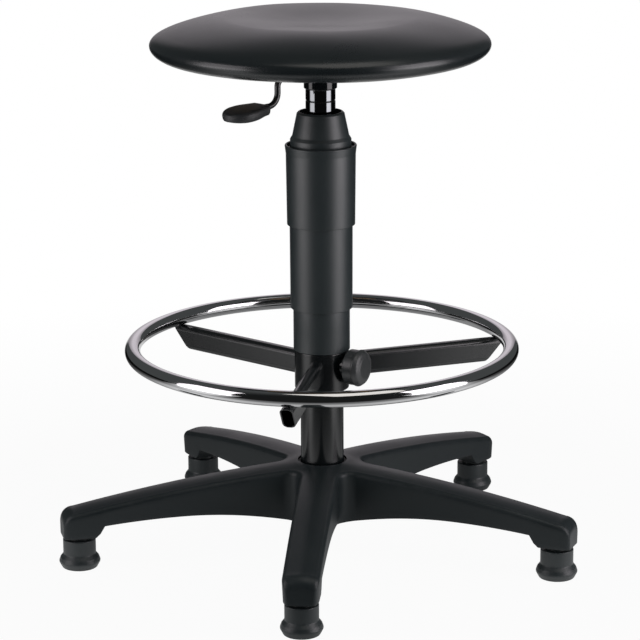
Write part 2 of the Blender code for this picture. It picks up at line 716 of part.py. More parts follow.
def make_pressure_tube(steel, plastic, parent):
    """Gas spring tube with its cone end, the rod guide in its mouth and the valve pin."""
    inner = TUBE_R - TUBE_WALL
    cone = TUBE_TOP - TUBE_CONE_LENGTH
    top_r = TUBE_R - TUBE_CONE_TAPER
    pin_bore = VALVE_PIN_R + FIT
    tube = lathe([(inner, TUBE_BOTTOM), (TUBE_R - 0.001, TUBE_BOTTOM), (TUBE_R, TUBE_BOTTOM + 0.002),
                  (TUBE_R, cone), (top_r, TUBE_TOP - 0.001), (top_r - 0.001, TUBE_TOP),
                  (pin_bore, TUBE_TOP), (pin_bore, TUBE_TOP - TUBE_HEAD),
                  (inner, TUBE_TOP - TUBE_HEAD)], ROUND)
    add_node("pressure_tube", tube, steel, parent)

    bottom = TUBE_BOTTOM + 0.001
    guide = lathe(ring_outline(ROD_R + FIT, inner - FIT, bottom, bottom + ROD_GUIDE_LENGTH), SMALL)
    add_node("rod_guide", guide, plastic, parent)


def make_valve_pin(steel, parent):
    head_top = TUBE_TOP - TUBE_HEAD - VALVE_TRAVEL / 2
    pin = lathe([(0.0, head_top - VALVE_PIN_HEAD), (VALVE_PIN_HEAD_R, head_top - VALVE_PIN_HEAD),
                 (VALVE_PIN_HEAD_R, head_top), (VALVE_PIN_R, head_top),
                 (VALVE_PIN_R, VALVE_PIN_TOP - 0.001),
                 (VALVE_PIN_R - 0.001, VALVE_PIN_TOP), (0.0, VALVE_PIN_TOP)], SMALL)
    add_node("valve_pin", pin, steel, parent)


def screw_places():
    half = PLATE_HOLE_PITCH / 2
    return [(half, half), (-half, half), (-half, -half), (half, -half)]


def make_socket(paint, parent):
    """Cone socket on the seat plate, with a slot in its head for the lever."""
    cone = TUBE_TOP - TUBE_CONE_LENGTH
    low_bore = TUBE_R + FIT
    top_bore = TUBE_R - TUBE_CONE_TAPER + FIT
    groove = HEAD_BOTTOM - SOCKET_GROOVE_BELOW_HEAD
    outline = [(low_bore, SOCKET_BOTTOM), (SOCKET_R - 0.001, SOCKET_BOTTOM),
               (SOCKET_R, SOCKET_BOTTOM + 0.001),
               (SOCKET_R, groove - SOCKET_GROOVE), (SOCKET_R - SOCKET_GROOVE, groove),
               (SOCKET_R, groove + SOCKET_GROOVE), (SOCKET_R, HEAD_BOTTOM),
               (SOCKET_HEAD_R, HEAD_BOTTOM), (SOCKET_HEAD_R, HEAD_BOTTOM + SOCKET_LIP),
               (SOCKET_HEAD_R - 0.0005, HEAD_BOTTOM + SOCKET_LIP + 0.0005),
               (SOCKET_HEAD_R - 0.0005, SOCKET_TOP), (top_bore, SOCKET_TOP),
               (top_bore, TUBE_TOP), (low_bore, cone)]
    socket = lathe(outline, ROUND)
    width = LEVER_R + RUN
    floor = LEVER_Z - LEVER_R - RUN - math.tan(LEVER_SWING) * LEVER_PIVOT_R
    slot = prism([(-LEVER_PAST_AXIS - 0.004, -width), (SOCKET_R + 0.02, -width),
                  (SOCKET_R + 0.02, width), (-LEVER_PAST_AXIS - 0.004, width)], floor, SOCKET_TOP + 0.01)
    socket = cut(socket, [turned(slot, LEVER_AZIMUTH)])
    add_node("cone_socket", socket, paint, parent)


def rounded_square(side, corner, per_corner=3):
    half = side / 2 - corner
    outline = []
    for quarter in range(4):
        middle = math.radians(45 + 90 * quarter)
        cx = half * (1 if math.cos(middle) > 0 else -1)
        cy = half * (1 if math.sin(middle) > 0 else -1)
        for step in range(per_corner + 1):
            turn = math.radians(90 * quarter + 90 * step / per_corner)
            outline.append((cx + corner * math.cos(turn), cy + corner * math.sin(turn)))
    return outline


def make_seat_plate(paint, steel, parent):
    """Pressed seat plate with its stiffening bead, screw holes and screws."""
    plate = prism(rounded_square(PLATE_SIDE, PLATE_CORNER), PLATE_BOTTOM, PLATE_TOP)
    hole = lathe([(0.0, PLATE_BOTTOM - 0.01), (SOCKET_R - 0.004, PLATE_BOTTOM - 0.01),
                  (SOCKET_R - 0.004, PLATE_TOP + 0.01), (0.0, PLATE_TOP + 0.01)], ROUND)
    near = PLATE_BEAD_R - PLATE_BEAD_WIDTH / 2
    far = PLATE_BEAD_R + PLATE_BEAD_WIDTH / 2
    bead = lathe([(near, PLATE_TOP + 0.001), (near + 0.0015, PLATE_TOP - PLATE_BEAD_HEIGHT),
                  (far - 0.0015, PLATE_TOP - PLATE_BEAD_HEIGHT), (far, PLATE_TOP + 0.001)], ROUND)
    cutters = [hole, bead]
    for x, y in screw_places():
        shank = lathe([(0.0, PLATE_BOTTOM - 0.01), (SCREW_R + FIT, PLATE_BOTTOM - 0.01),
                       (SCREW_R + FIT, PLATE_TOP + 0.01), (0.0, PLATE_TOP + 0.01)], TINY)
        cutters.append(moved(shank, Matrix.Translation((x, y, 0))))
    add_node("seat_plate", cut(plate, cutters), paint, parent)

    head_top = PLATE_BOTTOM - FIT
    head_bottom = head_top - SCREW_HEAD
    tip = head_top + FIT + PLATE_THICKNESS + SCREW_LENGTH
    outline = [(0.0, head_bottom + 0.0018), (SCREW_DRIVE_R, head_bottom + 0.0018),
               (SCREW_DRIVE_R, head_bottom), (0.75 * SCREW_HEAD_R, head_bottom),
               (SCREW_HEAD_R, head_bottom + 0.35 * SCREW_HEAD), (SCREW_HEAD_R, head_top),
               (SCREW_R, head_top), (SCREW_R, tip), (0.0, tip)]
    first = None
    for index, (x, y) in enumerate(screw_places()):
        if first is None:
            first = add_node("seat_screw_1", lathe(outline, TINY), steel, parent, (x, y, 0))
        else:
            copy_node(first, f"seat_screw_{index + 1}", (x, y, 0), 0.0)


def make_seat(wood, steel, foam, parent):
    """Plywood seat board with four threaded inserts, and the moulded cushion round it."""
    bottom = SEAT_UNDERSIDE
    top = bottom + BOARD_THICKNESS
    board = lathe([(0.0, bottom), (BOARD_R - BOARD_EDGE, bottom), (BOARD_R, bottom + BOARD_EDGE),
                   (BOARD_R, top - BOARD_EDGE), (BOARD_R - BOARD_EDGE, top), (0.0, top)],
                  CUSHION_FACETS)
    cutters = []
    clearance = lathe([(0.0, bottom - 0.01), (SOCKET_R, bottom - 0.01), (SOCKET_R, bottom + 0.004),
                       (0.0, bottom + 0.004)], ROUND)
    cutters.append(clearance)
    for x, y in screw_places():
        place = Matrix.Translation((x, y, 0))
        reach = top + 0.01
        hole = lathe([(0.0, bottom - 0.01), (INSERT_R + FIT, bottom - 0.01),
                      (INSERT_R + FIT, top - INSERT_FLANGE - FIT),
                      (INSERT_FLANGE_R + FIT, top - INSERT_FLANGE - FIT),
                      (INSERT_FLANGE_R + FIT, reach), (0.0, reach)], TINY)
        cutters.append(moved(hole, place))
    add_node("seat_board", cut(board, cutters), wood, parent)

    under = top - INSERT_FLANGE
    bore = SCREW_R + FIT
    roof = SEAT_UNDERSIDE + SCREW_LENGTH + 0.0005
    insert = [(bore, bottom + 0.002), (INSERT_R, bottom + 0.002), (INSERT_R, under),
              (INSERT_FLANGE_R, under), (INSERT_FLANGE_R, top), (bore, top)]
    first = None
    for index, (x, y) in enumerate(screw_places()):
        if first is None:
            first = add_node("seat_insert_1", lathe(insert, TINY), steel, parent, (x, y, 0))
        else:
            copy_node(first, f"seat_insert_{index + 1}", (x, y, 0), 0.0)

    recess_r = BOARD_R + FIT
    recess_top = max(top, roof) + FIT
    outline = cushion_outline()
    outline += [(recess_r, SEAT_UNDERSIDE), (recess_r, recess_top), (0.0, recess_top)]
    add_node("seat_cushion", lathe(outline, CUSHION_FACETS), foam, parent)


def cushion_outline():
    """Cushion profile from the dish at the axis over the crown and the rim to the underside.

    The dish is a raised cosine, and both sides of the rim are superellipse quarters.
    """
    points = []
    for step in range(4):
        t = step / 4
        radius = CUSHION_CROWN_R * t
        dip = CUSHION_DISH * 0.5 * (1 + math.cos(math.pi * t))
        points.append((radius, CUSHION_CROWN - dip))
    spread = CUSHION_R - CUSHION_CROWN_R
    for step in range(7):
        turn = 0.5 * math.pi * step / 7
        t = math.sin(turn)
        rise = (1 - t ** CUSHION_TOP_POWER) ** (1 / CUSHION_TOP_POWER)
        points.append((CUSHION_CROWN_R + spread * t, CUSHION_WAIST + CUSHION_TOP_RISE * rise))
    spread = CUSHION_R - CUSHION_UNDER_FLAT_R
    for step in range(7):
        turn = 0.5 * math.pi * step / 6
        t = math.cos(turn)
        fall = (1 - t ** CUSHION_UNDER_POWER) ** (1 / CUSHION_UNDER_POWER)
        points.append((CUSHION_UNDER_FLAT_R + spread * t, CUSHION_WAIST - CUSHION_WAIST_RISE * fall))
    return points


def make_lever(steel, plastic, paint, seat_parent):
    """Release lever: a bent rod on a cross pin between two ears, with a flat paddle."""
    pivot = at_azimuth(LEVER_PIVOT_R, LEVER_AZIMUTH, LEVER_Z)
    axis = make_empty("lever_axis", pivot, LEVER_AZIMUTH, seat_parent)

    side = LEVER_R + RUN
    ear_top = SOCKET_TOP - LEVER_Z
    ears = []
    for sign in (-1, 1):
        low, high = sorted((sign * side, sign * (side + EAR_THICKNESS)))
        half = EAR_LENGTH / 2
        blade = loft([[(-half, y, ear_top), (-half, y, -0.001), (-0.0025, y, -EAR_BELOW_PIN),
                       (0.0025, y, -EAR_BELOW_PIN), (half, y, -0.001), (half, y, ear_top)]
                      for y in (low, high)])
        ears.append(blade)
    reach = side + EAR_THICKNESS
    pin_hole = moved(lathe([(0.0, -0.02), (PIVOT_PIN_R + FIT, -0.02), (PIVOT_PIN_R + FIT, 0.02),
                            (0.0, 0.02)], TINY), Matrix.Rotation(math.radians(90), 4, "X"))
    for sign, blade in zip(("a", "b"), ears):
        hole = pin_hole.copy()
        add_node(f"lever_ear_{sign}", cut(blade, [hole]), paint, axis, (0.0, 0.0, 0.0))
    length = reach + 0.0012
    pin = moved(lathe([(0.0, -length), (PIVOT_PIN_R, -length), (PIVOT_PIN_R, length), (0.0, length)],
                      TINY), Matrix.Rotation(math.radians(90), 4, "X"))
    add_node("lever_pin", pin, steel, axis)

    rod = swept_rod(lever_path(), LEVER_R, TINY)
    rod = cut(rod, [pin_hole])
    add_node("lever_rod", rod, steel, axis)

    paddle = paddle_solid()
    end = PADDLE_START_R + PADDLE_BORE - LEVER_PIVOT_R
    socket = laid_along_x(lathe([(0.0, 0.0), (LEVER_R + FIT, 0.0), (LEVER_R + FIT, PADDLE_BORE + 0.01),
                                 (0.0, PADDLE_BORE + 0.01)], TINY))
    socket = moved(socket, Matrix.Translation((end - PADDLE_BORE - 0.01, 0.0, -LEVER_DROP)))
    add_node("lever_paddle", cut(paddle, [socket]), plastic, axis)


def lever_path():
    """Centre line of the lever rod in the lever's own plane, from its inner end to the paddle."""
    knee = LEVER_KNEE_R - LEVER_PIVOT_R
    end = PADDLE_START_R + PADDLE_BORE - FIT - LEVER_PIVOT_R
    path = [(-LEVER_PIVOT_R - LEVER_PAST_AXIS, 0.0)]
    for step in range(5):
        turn = math.radians(90 - 90 * step / 4)
        path.append((knee - LEVER_KNEE_BEND + LEVER_KNEE_BEND * math.cos(turn),
                     -LEVER_KNEE_BEND + LEVER_KNEE_BEND * math.sin(turn)))
    for step in range(6):
        turn = math.radians(180 + 90 * step / 5)
        path.append((knee + LEVER_FOOT_BEND + LEVER_FOOT_BEND * math.cos(turn),
                     -LEVER_DROP + LEVER_FOOT_BEND + LEVER_FOOT_BEND * math.sin(turn)))
    path.append((end, -LEVER_DROP))
    return path


def swept_rod(path, radius, facets):
    """Round rod along a path in the XZ plane, with mitred rings."""
    sections = []
    last = len(path) - 1
    for index, point in enumerate(path):
        before = Vector(path[max(0, index - 1)])
        after = Vector(path[min(last, index + 1)])
        along = (after - before).normalized()
        side = Vector((-along.y, along.x))
        ring = []
        for step in range(facets):
            turn = 2 * math.pi * step / facets
            shift = side * radius * math.cos(turn)
            ring.append((point[0] + shift.x, radius * math.sin(turn), point[1] + shift.y))
        sections.append(ring)
    return loft(sections)


def paddle_solid():
    """Flat paddle: a blunt neck that widens to a rounded blade, which falls towards its tip."""
    start = PADDLE_START_R - LEVER_PIVOT_R
    neck = PADDLE_NECK_WIDTH / PADDLE_WIDTH
    sections = []
    for step in range(9):
        t = step / 8
        grow = neck + (1 - neck) * math.sin(0.5 * math.pi * min(1.0, t / 0.45)) ** 2
        close = math.sqrt(max(0.0, 1 - max(0.0, (t - 0.55) / 0.47) ** 2.2))
        half = 0.5 * PADDLE_WIDTH * grow * close
        fuller = 0.6 + 0.4 * close
        top = PADDLE_TOP_ABOVE_ROD * fuller
        under = (PADDLE_UNDER_BELOW_ROD + PADDLE_BELLY * math.sin(math.pi * t)) * fuller
        edge = min(0.0040, 0.6 * half)
        side = [(half, 0.3 * top), (half - 0.3 * edge, 0.8 * top), (half - edge, top)]
        below = [(half, -0.4 * under), (half - 0.3 * edge, -0.8 * under), (half - edge, -under)]
        ring = side + [(-y, z) for y, z in side[::-1]]
        ring += [(-y, z) for y, z in below] + below[::-1]
        level = -LEVER_DROP - PADDLE_FALL * t * t
        sections.append([(start + PADDLE_LENGTH * t, y, level + z) for y, z in ring])
    return loft(sections)


def make_cover(plastic, seat_parent, middle_parent, base_parent):
    """Telescopic cover: cone cap, upper and middle sleeve, and the lower sleeve on the stand tube."""
    skirt_r = UPPER_BORE_R + CAP_SKIRT_WALL
    web_top = CAP_TOP - CAP_WEB_BELOW_TOP
    web_bottom = web_top - CAP_WALL
    hole = SOCKET_R + FIT
    base_top = CAP_BASE + CAP_BAND_EDGE
    slope_r = CAP_BASE_R - 0.0025
    cap = lathe([(UPPER_BORE_R, CAP_SKIRT_BOTTOM), (skirt_r, CAP_SKIRT_BOTTOM),
                 (skirt_r, CAP_SHOULDER), (CAP_BASE_R, CAP_SHOULDER), (CAP_BASE_R, CAP_BASE),
                 (slope_r, base_top), (CAP_TOP_R + 0.0008, CAP_TOP - 0.0024),
                 (CAP_TOP_R - 0.0012, CAP_TOP), (CAP_TOP_R - CAP_WALL, CAP_TOP),
                 (CAP_TOP_R - CAP_WALL, web_top), (hole, web_top), (hole, web_bottom),
                 (CAP_TOP_R - CAP_WALL, web_bottom), (slope_r - CAP_WALL, base_top - 0.001),
                 (UPPER_BORE_R, CAP_SHOULDER - CAP_WALL)])
    add_node("cover_cap", cap, plastic, seat_parent)

    seat_r = skirt_r + FIT
    lip_r = MIDDLE_TOP_R + RUN
    upper = lathe([(lip_r, UPPER_BOTTOM), (UPPER_BOTTOM_R - 0.0005, UPPER_BOTTOM),
                   (UPPER_BOTTOM_R, UPPER_BOTTOM + 0.0005), (UPPER_TOP_R, UPPER_TOP - UPPER_RIM_HEIGHT),
                   (UPPER_RIM_R, UPPER_TOP - 0.001), (UPPER_RIM_R - 0.0006, UPPER_TOP), (seat_r, UPPER_TOP),
                   (seat_r, UPPER_LEDGE), (UPPER_BORE_R, UPPER_LEDGE),
                   (UPPER_BORE_R, UPPER_BOTTOM + COVER_LIP + 0.001), (lip_r, UPPER_BOTTOM + COVER_LIP)])
    add_node("cover_upper", upper, plastic, seat_parent)

    lip_r = LOWER_R + RUN
    bead_r = MIDDLE_TOP_R + 0.0002
    middle = lathe([(lip_r, MIDDLE_BOTTOM), (MIDDLE_BOTTOM_R - 0.0005, MIDDLE_BOTTOM),
                    (MIDDLE_BOTTOM_R, MIDDLE_BOTTOM + 0.0005),
                    (MIDDLE_TOP_R, MIDDLE_TOP - COVER_LIP - 0.0005),
                    (bead_r, MIDDLE_TOP - COVER_LIP), (bead_r, MIDDLE_TOP),
                    (MIDDLE_TOP_R - MIDDLE_WALL, MIDDLE_TOP),
                    (MIDDLE_BOTTOM_R - MIDDLE_WALL, MIDDLE_BOTTOM + COVER_LIP + 0.001),
                    (lip_r, MIDDLE_BOTTOM + COVER_LIP)])
    add_node("cover_middle", middle, plastic, middle_parent)

    inner = LOWER_R - LOWER_WALL
    flange = TUBE_R + 0.002
    roof = LOWER_TOP - LOWER_FLANGE
    lower = lathe([(inner, LOWER_BOTTOM), (LOWER_R - 0.0005, LOWER_BOTTOM),
                   (LOWER_R, LOWER_BOTTOM + 0.0005),
                   (LOWER_R, LOWER_TOP - 0.0005), (LOWER_R - 0.0005, LOWER_TOP), (flange, LOWER_TOP),
                   (flange, roof), (inner, roof)])
    add_node("cover_lower", lower, plastic, base_parent)


def rounded_rectangle(width, height, corner, per_corner=2):
    """Outline of (y, z) points about its own middle."""
    outline = []
    for quarter in range(4):
        middle = math.radians(45 + 90 * quarter)
        cy = (width / 2 - corner) * (1 if math.cos(middle) > 0 else -1)
        cz = (height / 2 - corner) * (1 if math.sin(middle) > 0 else -1)
        for step in range(per_corner + 1):
            turn = math.radians(90 * quarter + 90 * step / per_corner)
            outline.append((cy + corner * math.cos(turn), cz + corner * math.sin(turn)))
    return outline


def arm_solid():
    """Oval steel tube along +X: saddled on the hub, its free end cut on the slant."""
    top = RING_HEIGHT - RING_TUBE_R - FIT
    middle = top - ARM_HEIGHT / 2
    hub = RING_HUB_R + FIT
    far_top = RING_R + ARM_BEYOND_RING
    runs = []
    for shrink in (0.0, ARM_WALL):
        outline = rounded_rectangle(ARM_WIDTH - 2 * shrink, ARM_HEIGHT - 2 * shrink, ARM_CORNER - shrink)
        near = [(math.sqrt(hub * hub - y * y), y, middle + z) for y, z in outline]
        far = []
        for y, z in outline:
            share = 0.5 - z / ARM_HEIGHT
            far.append((far_top - ARM_END_SLANT * share, y, middle + z))
        runs.append([near, far])
    return tube_loft(runs[0], runs[1])


def make_foot_ring(chrome, paint, plastic, slide_parent, ring_parent):
    tube = []
    for step in range(RING_TUBE_FACETS):
        turn = 2 * math.pi * step / RING_TUBE_FACETS
        tube.append((RING_R + RING_TUBE_R * math.cos(turn), RING_HEIGHT + RING_TUBE_R * math.sin(turn)))
    add_node("foot_ring", lathe(tube, RING_FACETS), chrome, ring_parent)

    for index in range(ARM_COUNT):
        add_node(f"ring_arm_{index + 1}", arm_solid(), paint, ring_parent, (0, 0, 0), arm_azimuth(index))

    bore = RING_HUB_R - RING_HUB_WALL
    hub = lathe([(bore, RING_HUB_BOTTOM), (RING_HUB_R - 0.001, RING_HUB_BOTTOM),
                 (RING_HUB_R, RING_HUB_BOTTOM + 0.001), (RING_HUB_R, RING_HUB_TOP - 0.001),
                 (RING_HUB_R - 0.001, RING_HUB_TOP), (bore, RING_HUB_TOP)])
    hole = laid_along_x(lathe([(0.0, 0.0), (CLAMP_PAD_R + RUN, 0.0), (CLAMP_PAD_R + RUN, RING_HUB_R + 0.02),
                               (0.0, RING_HUB_R + 0.02)], SMALL))
    hole = moved(hole, Matrix.Translation((0, 0, CLAMP_Z)))
    add_node("ring_hub", cut(hub, [turned(hole, CLAMP_AZIMUTH)]), paint, ring_parent)

    low = RING_HUB_BOTTOM + RING_BUSH_INSET
    high = RING_HUB_TOP - RING_BUSH_INSET
    for name, bottom, top in (("ring_bush_lower", low, low + RING_BUSH_HEIGHT),
                              ("ring_bush_upper", high - RING_BUSH_HEIGHT / 2, high)):
        bush = lathe(ring_outline(COLUMN_R + FIT, bore - FIT, bottom, top))
        add_node(name, bush, plastic, slide_parent)


def make_clamp(steel, plastic, brass, paint, ring_parent):
    """Clamp knob with its screw, the nut on the hub and the pad that bears on the stand tube."""
    axis = make_empty("clamp_axis", (0, 0, CLAMP_Z), CLAMP_AZIMUTH, ring_parent)
    nut_start = RING_HUB_R + FIT
    nut_root = math.sqrt(nut_start ** 2 - CLAMP_NUT_R ** 2) - CLAMP_NUT_ROOT
    nut = laid_along_x(lathe([(CLAMP_SCREW_R + FIT, nut_root), (CLAMP_NUT_R, nut_root),
                              (CLAMP_NUT_R, nut_start + CLAMP_NUT_LENGTH - 0.001),
                              (CLAMP_NUT_R - 0.001, nut_start + CLAMP_NUT_LENGTH),
                              (CLAMP_SCREW_R + FIT, nut_start + CLAMP_NUT_LENGTH)], ROUND))
    saddle = turned(lathe([(0.0, -2 * CLAMP_NUT_R), (nut_start, -2 * CLAMP_NUT_R),
                           (nut_start, 2 * CLAMP_NUT_R), (0.0, 2 * CLAMP_NUT_R)]), -CLAMP_AZIMUTH)
    nut = cut(nut, [saddle])
    add_node("clamp_nut", nut, paint, axis)

    pad_start = COLUMN_R + FIT
    pad_end = pad_start + CLAMP_PAD_THICKNESS
    pad = laid_along_x(lathe([(0.0, pad_start), (CLAMP_PAD_R, pad_start), (CLAMP_PAD_R, pad_end),
                              (0.0, pad_end)], SMALL))
    add_node("clamp_pad", pad, brass, axis)

    knob_start = nut_start + CLAMP_NUT_LENGTH + CLAMP_KNOB_GAP
    knob_end = knob_start + CLAMP_KNOB_THICKNESS
    bore_end = knob_start + CLAMP_KNOB_BORE
    screw_end = bore_end - FIT
    screw = laid_along_x(lathe([(0.0, pad_end + FIT), (CLAMP_SCREW_R - 0.001, pad_end + FIT),
                                (CLAMP_SCREW_R, pad_end + FIT + 0.001), (CLAMP_SCREW_R, screw_end),
                                (0.0, screw_end)], SMALL))
    add_node("clamp_screw", screw, steel, axis)

    soft = CLAMP_KNOB_ROUND
    corner = soft * (1 - math.cos(math.radians(45)))
    bore = CLAMP_SCREW_R + FIT
    knob = laid_along_x(lathe([(bore, knob_start), (CLAMP_KNOB_R - soft, knob_start),
                               (CLAMP_KNOB_R - corner, knob_start + corner),
                               (CLAMP_KNOB_R, knob_start + soft), (CLAMP_KNOB_R, knob_end - soft),
                               (CLAMP_KNOB_R - corner, knob_end - corner),
                               (CLAMP_KNOB_R - soft, knob_end), (0.0, knob_end + 0.0006),
                               (0.0, bore_end), (bore, bore_end)]))
    add_node("clamp_knob", knob, plastic, axis)


def main():
    clear_scene()
    nylon = make_material("black_nylon", (0.030, 0.031, 0.033), 0.45)
    sleeve_plastic = make_material("sleeve_plastic", (0.045, 0.045, 0.048), 0.50)
    bush_plastic = make_material("bush_plastic", (0.70, 0.70, 0.66), 0.45)
    foam_skin = make_material("foam_skin", (0.030, 0.029, 0.031), 0.55)
    black_paint = make_material("black_paint", (0.020, 0.021, 0.022), 0.35)
    gloss_paint = make_material("gloss_paint", (0.012, 0.012, 0.013), 0.12)
    chrome = make_material("chrome", (0.80, 0.80, 0.82), 0.06, 1.0)
    steel = make_material("steel", (0.52, 0.52, 0.53), 0.30, 1.0)
    brass = make_material("brass", (0.70, 0.52, 0.24), 0.30, 1.0)
    plywood = make_material("plywood", (0.50, 0.34, 0.19), 0.60)

    base = make_empty("base")
    swivel = make_empty("swivel")
    lift = make_empty("lift", parent=swivel)
    middle = make_empty("middle_sleeve")
    ring_slide = make_empty("ring_slide")
    ring_turn = make_empty("ring_turn", parent=ring_slide)

    make_base(nylon, steel, base)
    make_glides(nylon, steel)
    make_stand(black_paint, steel, bush_plastic, base)
    make_rod(steel, bush_plastic, swivel)
    make_pressure_tube(black_paint, bush_plastic, lift)
    make_valve_pin(steel, lift)
    make_socket(gloss_paint, lift)
    make_seat_plate(black_paint, steel, lift)
    make_seat(plywood, steel, foam_skin, lift)
    make_lever(black_paint, nylon, black_paint, lift)
    make_cover(sleeve_plastic, lift, middle, base)
    make_foot_ring(chrome, black_paint, bush_plastic, ring_slide, ring_turn)
    make_clamp(steel, nylon, brass, black_paint, ring_turn)


main()
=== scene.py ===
"""Swivel stool: smooth pieces, finishes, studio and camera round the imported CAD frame."""
import math

import bpy
import bmesh
import numpy as np
from mathutils import Matrix, Vector


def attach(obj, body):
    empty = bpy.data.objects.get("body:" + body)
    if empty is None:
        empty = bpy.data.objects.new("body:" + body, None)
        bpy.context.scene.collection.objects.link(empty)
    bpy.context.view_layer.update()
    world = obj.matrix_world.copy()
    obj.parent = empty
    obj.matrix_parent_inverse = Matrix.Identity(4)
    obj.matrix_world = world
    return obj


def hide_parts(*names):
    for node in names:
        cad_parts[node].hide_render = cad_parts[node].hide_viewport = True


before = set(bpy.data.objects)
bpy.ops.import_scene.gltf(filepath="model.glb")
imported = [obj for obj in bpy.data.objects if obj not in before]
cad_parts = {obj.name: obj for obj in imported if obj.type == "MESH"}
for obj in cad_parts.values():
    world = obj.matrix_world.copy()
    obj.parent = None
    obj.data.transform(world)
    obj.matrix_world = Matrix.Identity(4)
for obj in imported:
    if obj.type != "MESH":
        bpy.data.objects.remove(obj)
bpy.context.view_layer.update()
scene = bpy.context.scene

# ---- sizes, in metres
FIT = 0.0003

GLIDE_CIRCLE = 0.2887
GLIDE_HEIGHT = 0.0345
GLIDE_BODY_R = 0.01885
GLIDE_DISC_R = 0.024
GLIDE_DISC_HEIGHT = 0.0155
GLIDE_EDGE_Z = 0.0075
GLIDE_FOOT_R = 0.02
GLIDE_NECK_R = 0.013
GLIDE_NECK_RISE = 0.0037
GLIDE_BORE_R = 0.0058
GLIDE_BORE_DEPTH = 0.022
STEM_IN_LEG = 0.023

LEG_COUNT = 5
LEG_AZIMUTHS = [math.radians(265.4) + index * 2 * math.pi / LEG_COUNT for index in range(LEG_COUNT)]
LEG_TIP_R = 0.3085
LEG_NOSE = 0.015
NOSE_R = LEG_TIP_R - LEG_NOSE
LEG_TOP_AT_HUB = 0.103
LEG_TOP_AT_HUB_R = 0.069
LEG_TOP_AT_NOSE = 0.0708
LEG_CROWN = 0.003
NOSE_DROP = 0.013
NOSE_NARROWING = 0.014
LEG_WIDTH_AT_HUB = 0.045
LEG_WIDTH_AT_TIP = 0.0415
LEG_DRAFT = 0.001
LEG_EDGE = 0.006
LEG_RIDGE = 0.002
LEG_RIDGE_POWER = 1.7
LEG_FOOT_ROUND = 0.001
LEG_ARCH_R = 0.17
LEG_ARCH_UNDER = 0.0565
UNDER_DROP_AT_HUB = 0.021
UNDER_DROP_AT_BOSS = 0.0048
LEG_WALL = 0.0035
LEG_SKIN = 0.004
LEG_RIB = 0.0025
LEG_RIB_DEPTH = 0.008
LEG_CELLS = 4
BOSS_LENGTH = 0.0435
LEG_BOTTOM = 0.0385
HUB_BOTTOM = 0.0417
HUB_TOP = 0.107
HUB_FILLET = 0.016
HUB_FILLET_END = 0.05256
HUB_RISE = 0.0012
HUB_RISE_WIDTH = 0.009
HUB_BORE_SHARE = 0.72
HUB_WALL = 0.006
HUB_LEDGE = 0.0025
SOCKET_GROOVE_R = 0.0098
SOCKET_GROOVE_WIDTH = 0.0055
SOCKET_GROOVE_DEPTH = 0.022

COLUMN_R = 0.025
COLUMN_WALL = 0.002
COLUMN_BOTTOM = 0.043
COLUMN_TOP = 0.338
COLUMN_TAPER = 0.0016
COLUMN_TAPER_TOP = 0.104
COLUMN_FOOT_HOLE_R = 0.0075
COLUMN_FLOOR = 0.003
SLEEVE_R = COLUMN_R + FIT + 0.003
HUB_BORE_R = SLEEVE_R + FIT

SOCKET_R = 0.0171
SOCKET_BOTTOM = 0.5119
SOCKET_TOP = 0.5739
SOCKET_HEAD_R = 0.019
SOCKET_HEAD_BOTTOM = 0.5465
SOCKET_LIP = 0.0015
SOCKET_GROOVE_Z = 0.5325
SOCKET_NOTCH = 0.001
SOCKET_BORE_R = 0.0142

CUSHION_R = 0.1927
SEAT_UNDERSIDE = 0.5775
CUSHION_WAIST = 0.5998
CUSHION_CROWN = 0.6272
CUSHION_CROWN_R = 0.108
CUSHION_TOP_POWER = 1.36
CUSHION_UNDER_FLAT_R = 0.126
CUSHION_UNDER_POWER = 2.5
CUSHION_DISH = 0.007
CUSHION_WAIST_SOFT = 0.008
CUSHION_RECESS_R = 0.1153
CUSHION_RECESS_TOP = 0.5903
CUSHION_SWELL = 0.00022
DISH_ROWS, TOP_ROWS, UNDER_ROWS = 39, 43, 36

LEVER_AZIMUTH = math.radians(225.0)
LEVER_R = 0.0035
LEVER_PIVOT_R = 0.025
LEVER_Z = 0.5645
LEVER_KNEE_R = 0.0676
LEVER_KNEE_BEND = 0.0085
LEVER_DROP = 0.029
LEVER_FOOT_BEND = 0.014
LEVER_PAST_AXIS = 0.005
LEVER_END_EDGE = 0.0006
PADDLE_START_R = 0.092
PADDLE_LENGTH = 0.053
PADDLE_WIDTH = 0.042
PADDLE_TOP = 0.0046
PADDLE_UNDER = 0.0068
PADDLE_BELLY = 0.0014
PADDLE_FALL = 0.0045
PADDLE_NECK_WIDTH = 0.03
PADDLE_BORE = 0.016

CAP_TOP = 0.5196
CAP_TOP_R = 0.0262
CAP_BASE_R = 0.035
CAP_BASE = 0.488
CAP_SHOULDER = 0.478
CAP_SKIRT_BOTTOM = 0.462
CAP_SKIRT_R = 0.0383
CAP_BAND_EDGE = 0.004
CAP_SLOPE_INSET = 0.0025
CAP_WALL = 0.002
CAP_TOP_WALL = 0.0024
CAP_WEB_TOP = CAP_TOP - 0.007
CAP_WEB_FOOT = CAP_TOP - 0.009
UPPER_BOTTOM = 0.3889
UPPER_TOP = 0.4815
UPPER_BOTTOM_R = 0.03905
UPPER_TOP_R = 0.03995
UPPER_RIM_R = 0.04115
UPPER_RIM_HEIGHT = 0.01
UPPER_BORE_R = 0.0371
MIDDLE_BOTTOM = 0.2908
MIDDLE_TOP = 0.428
MIDDLE_BOTTOM_R = 0.0358
MIDDLE_TOP_R = 0.0363
LOWER_BOTTOM = 0.2414
LOWER_TOP = 0.3403
LOWER_R = 0.03265
LOWER_WALL = 0.0017
LOWER_HOLE_R = 0.016
COVER_LIP = 0.003
COVER_RUN = 0.0005
COVER_BEAD = 0.0002
COVER_WALL = 0.002

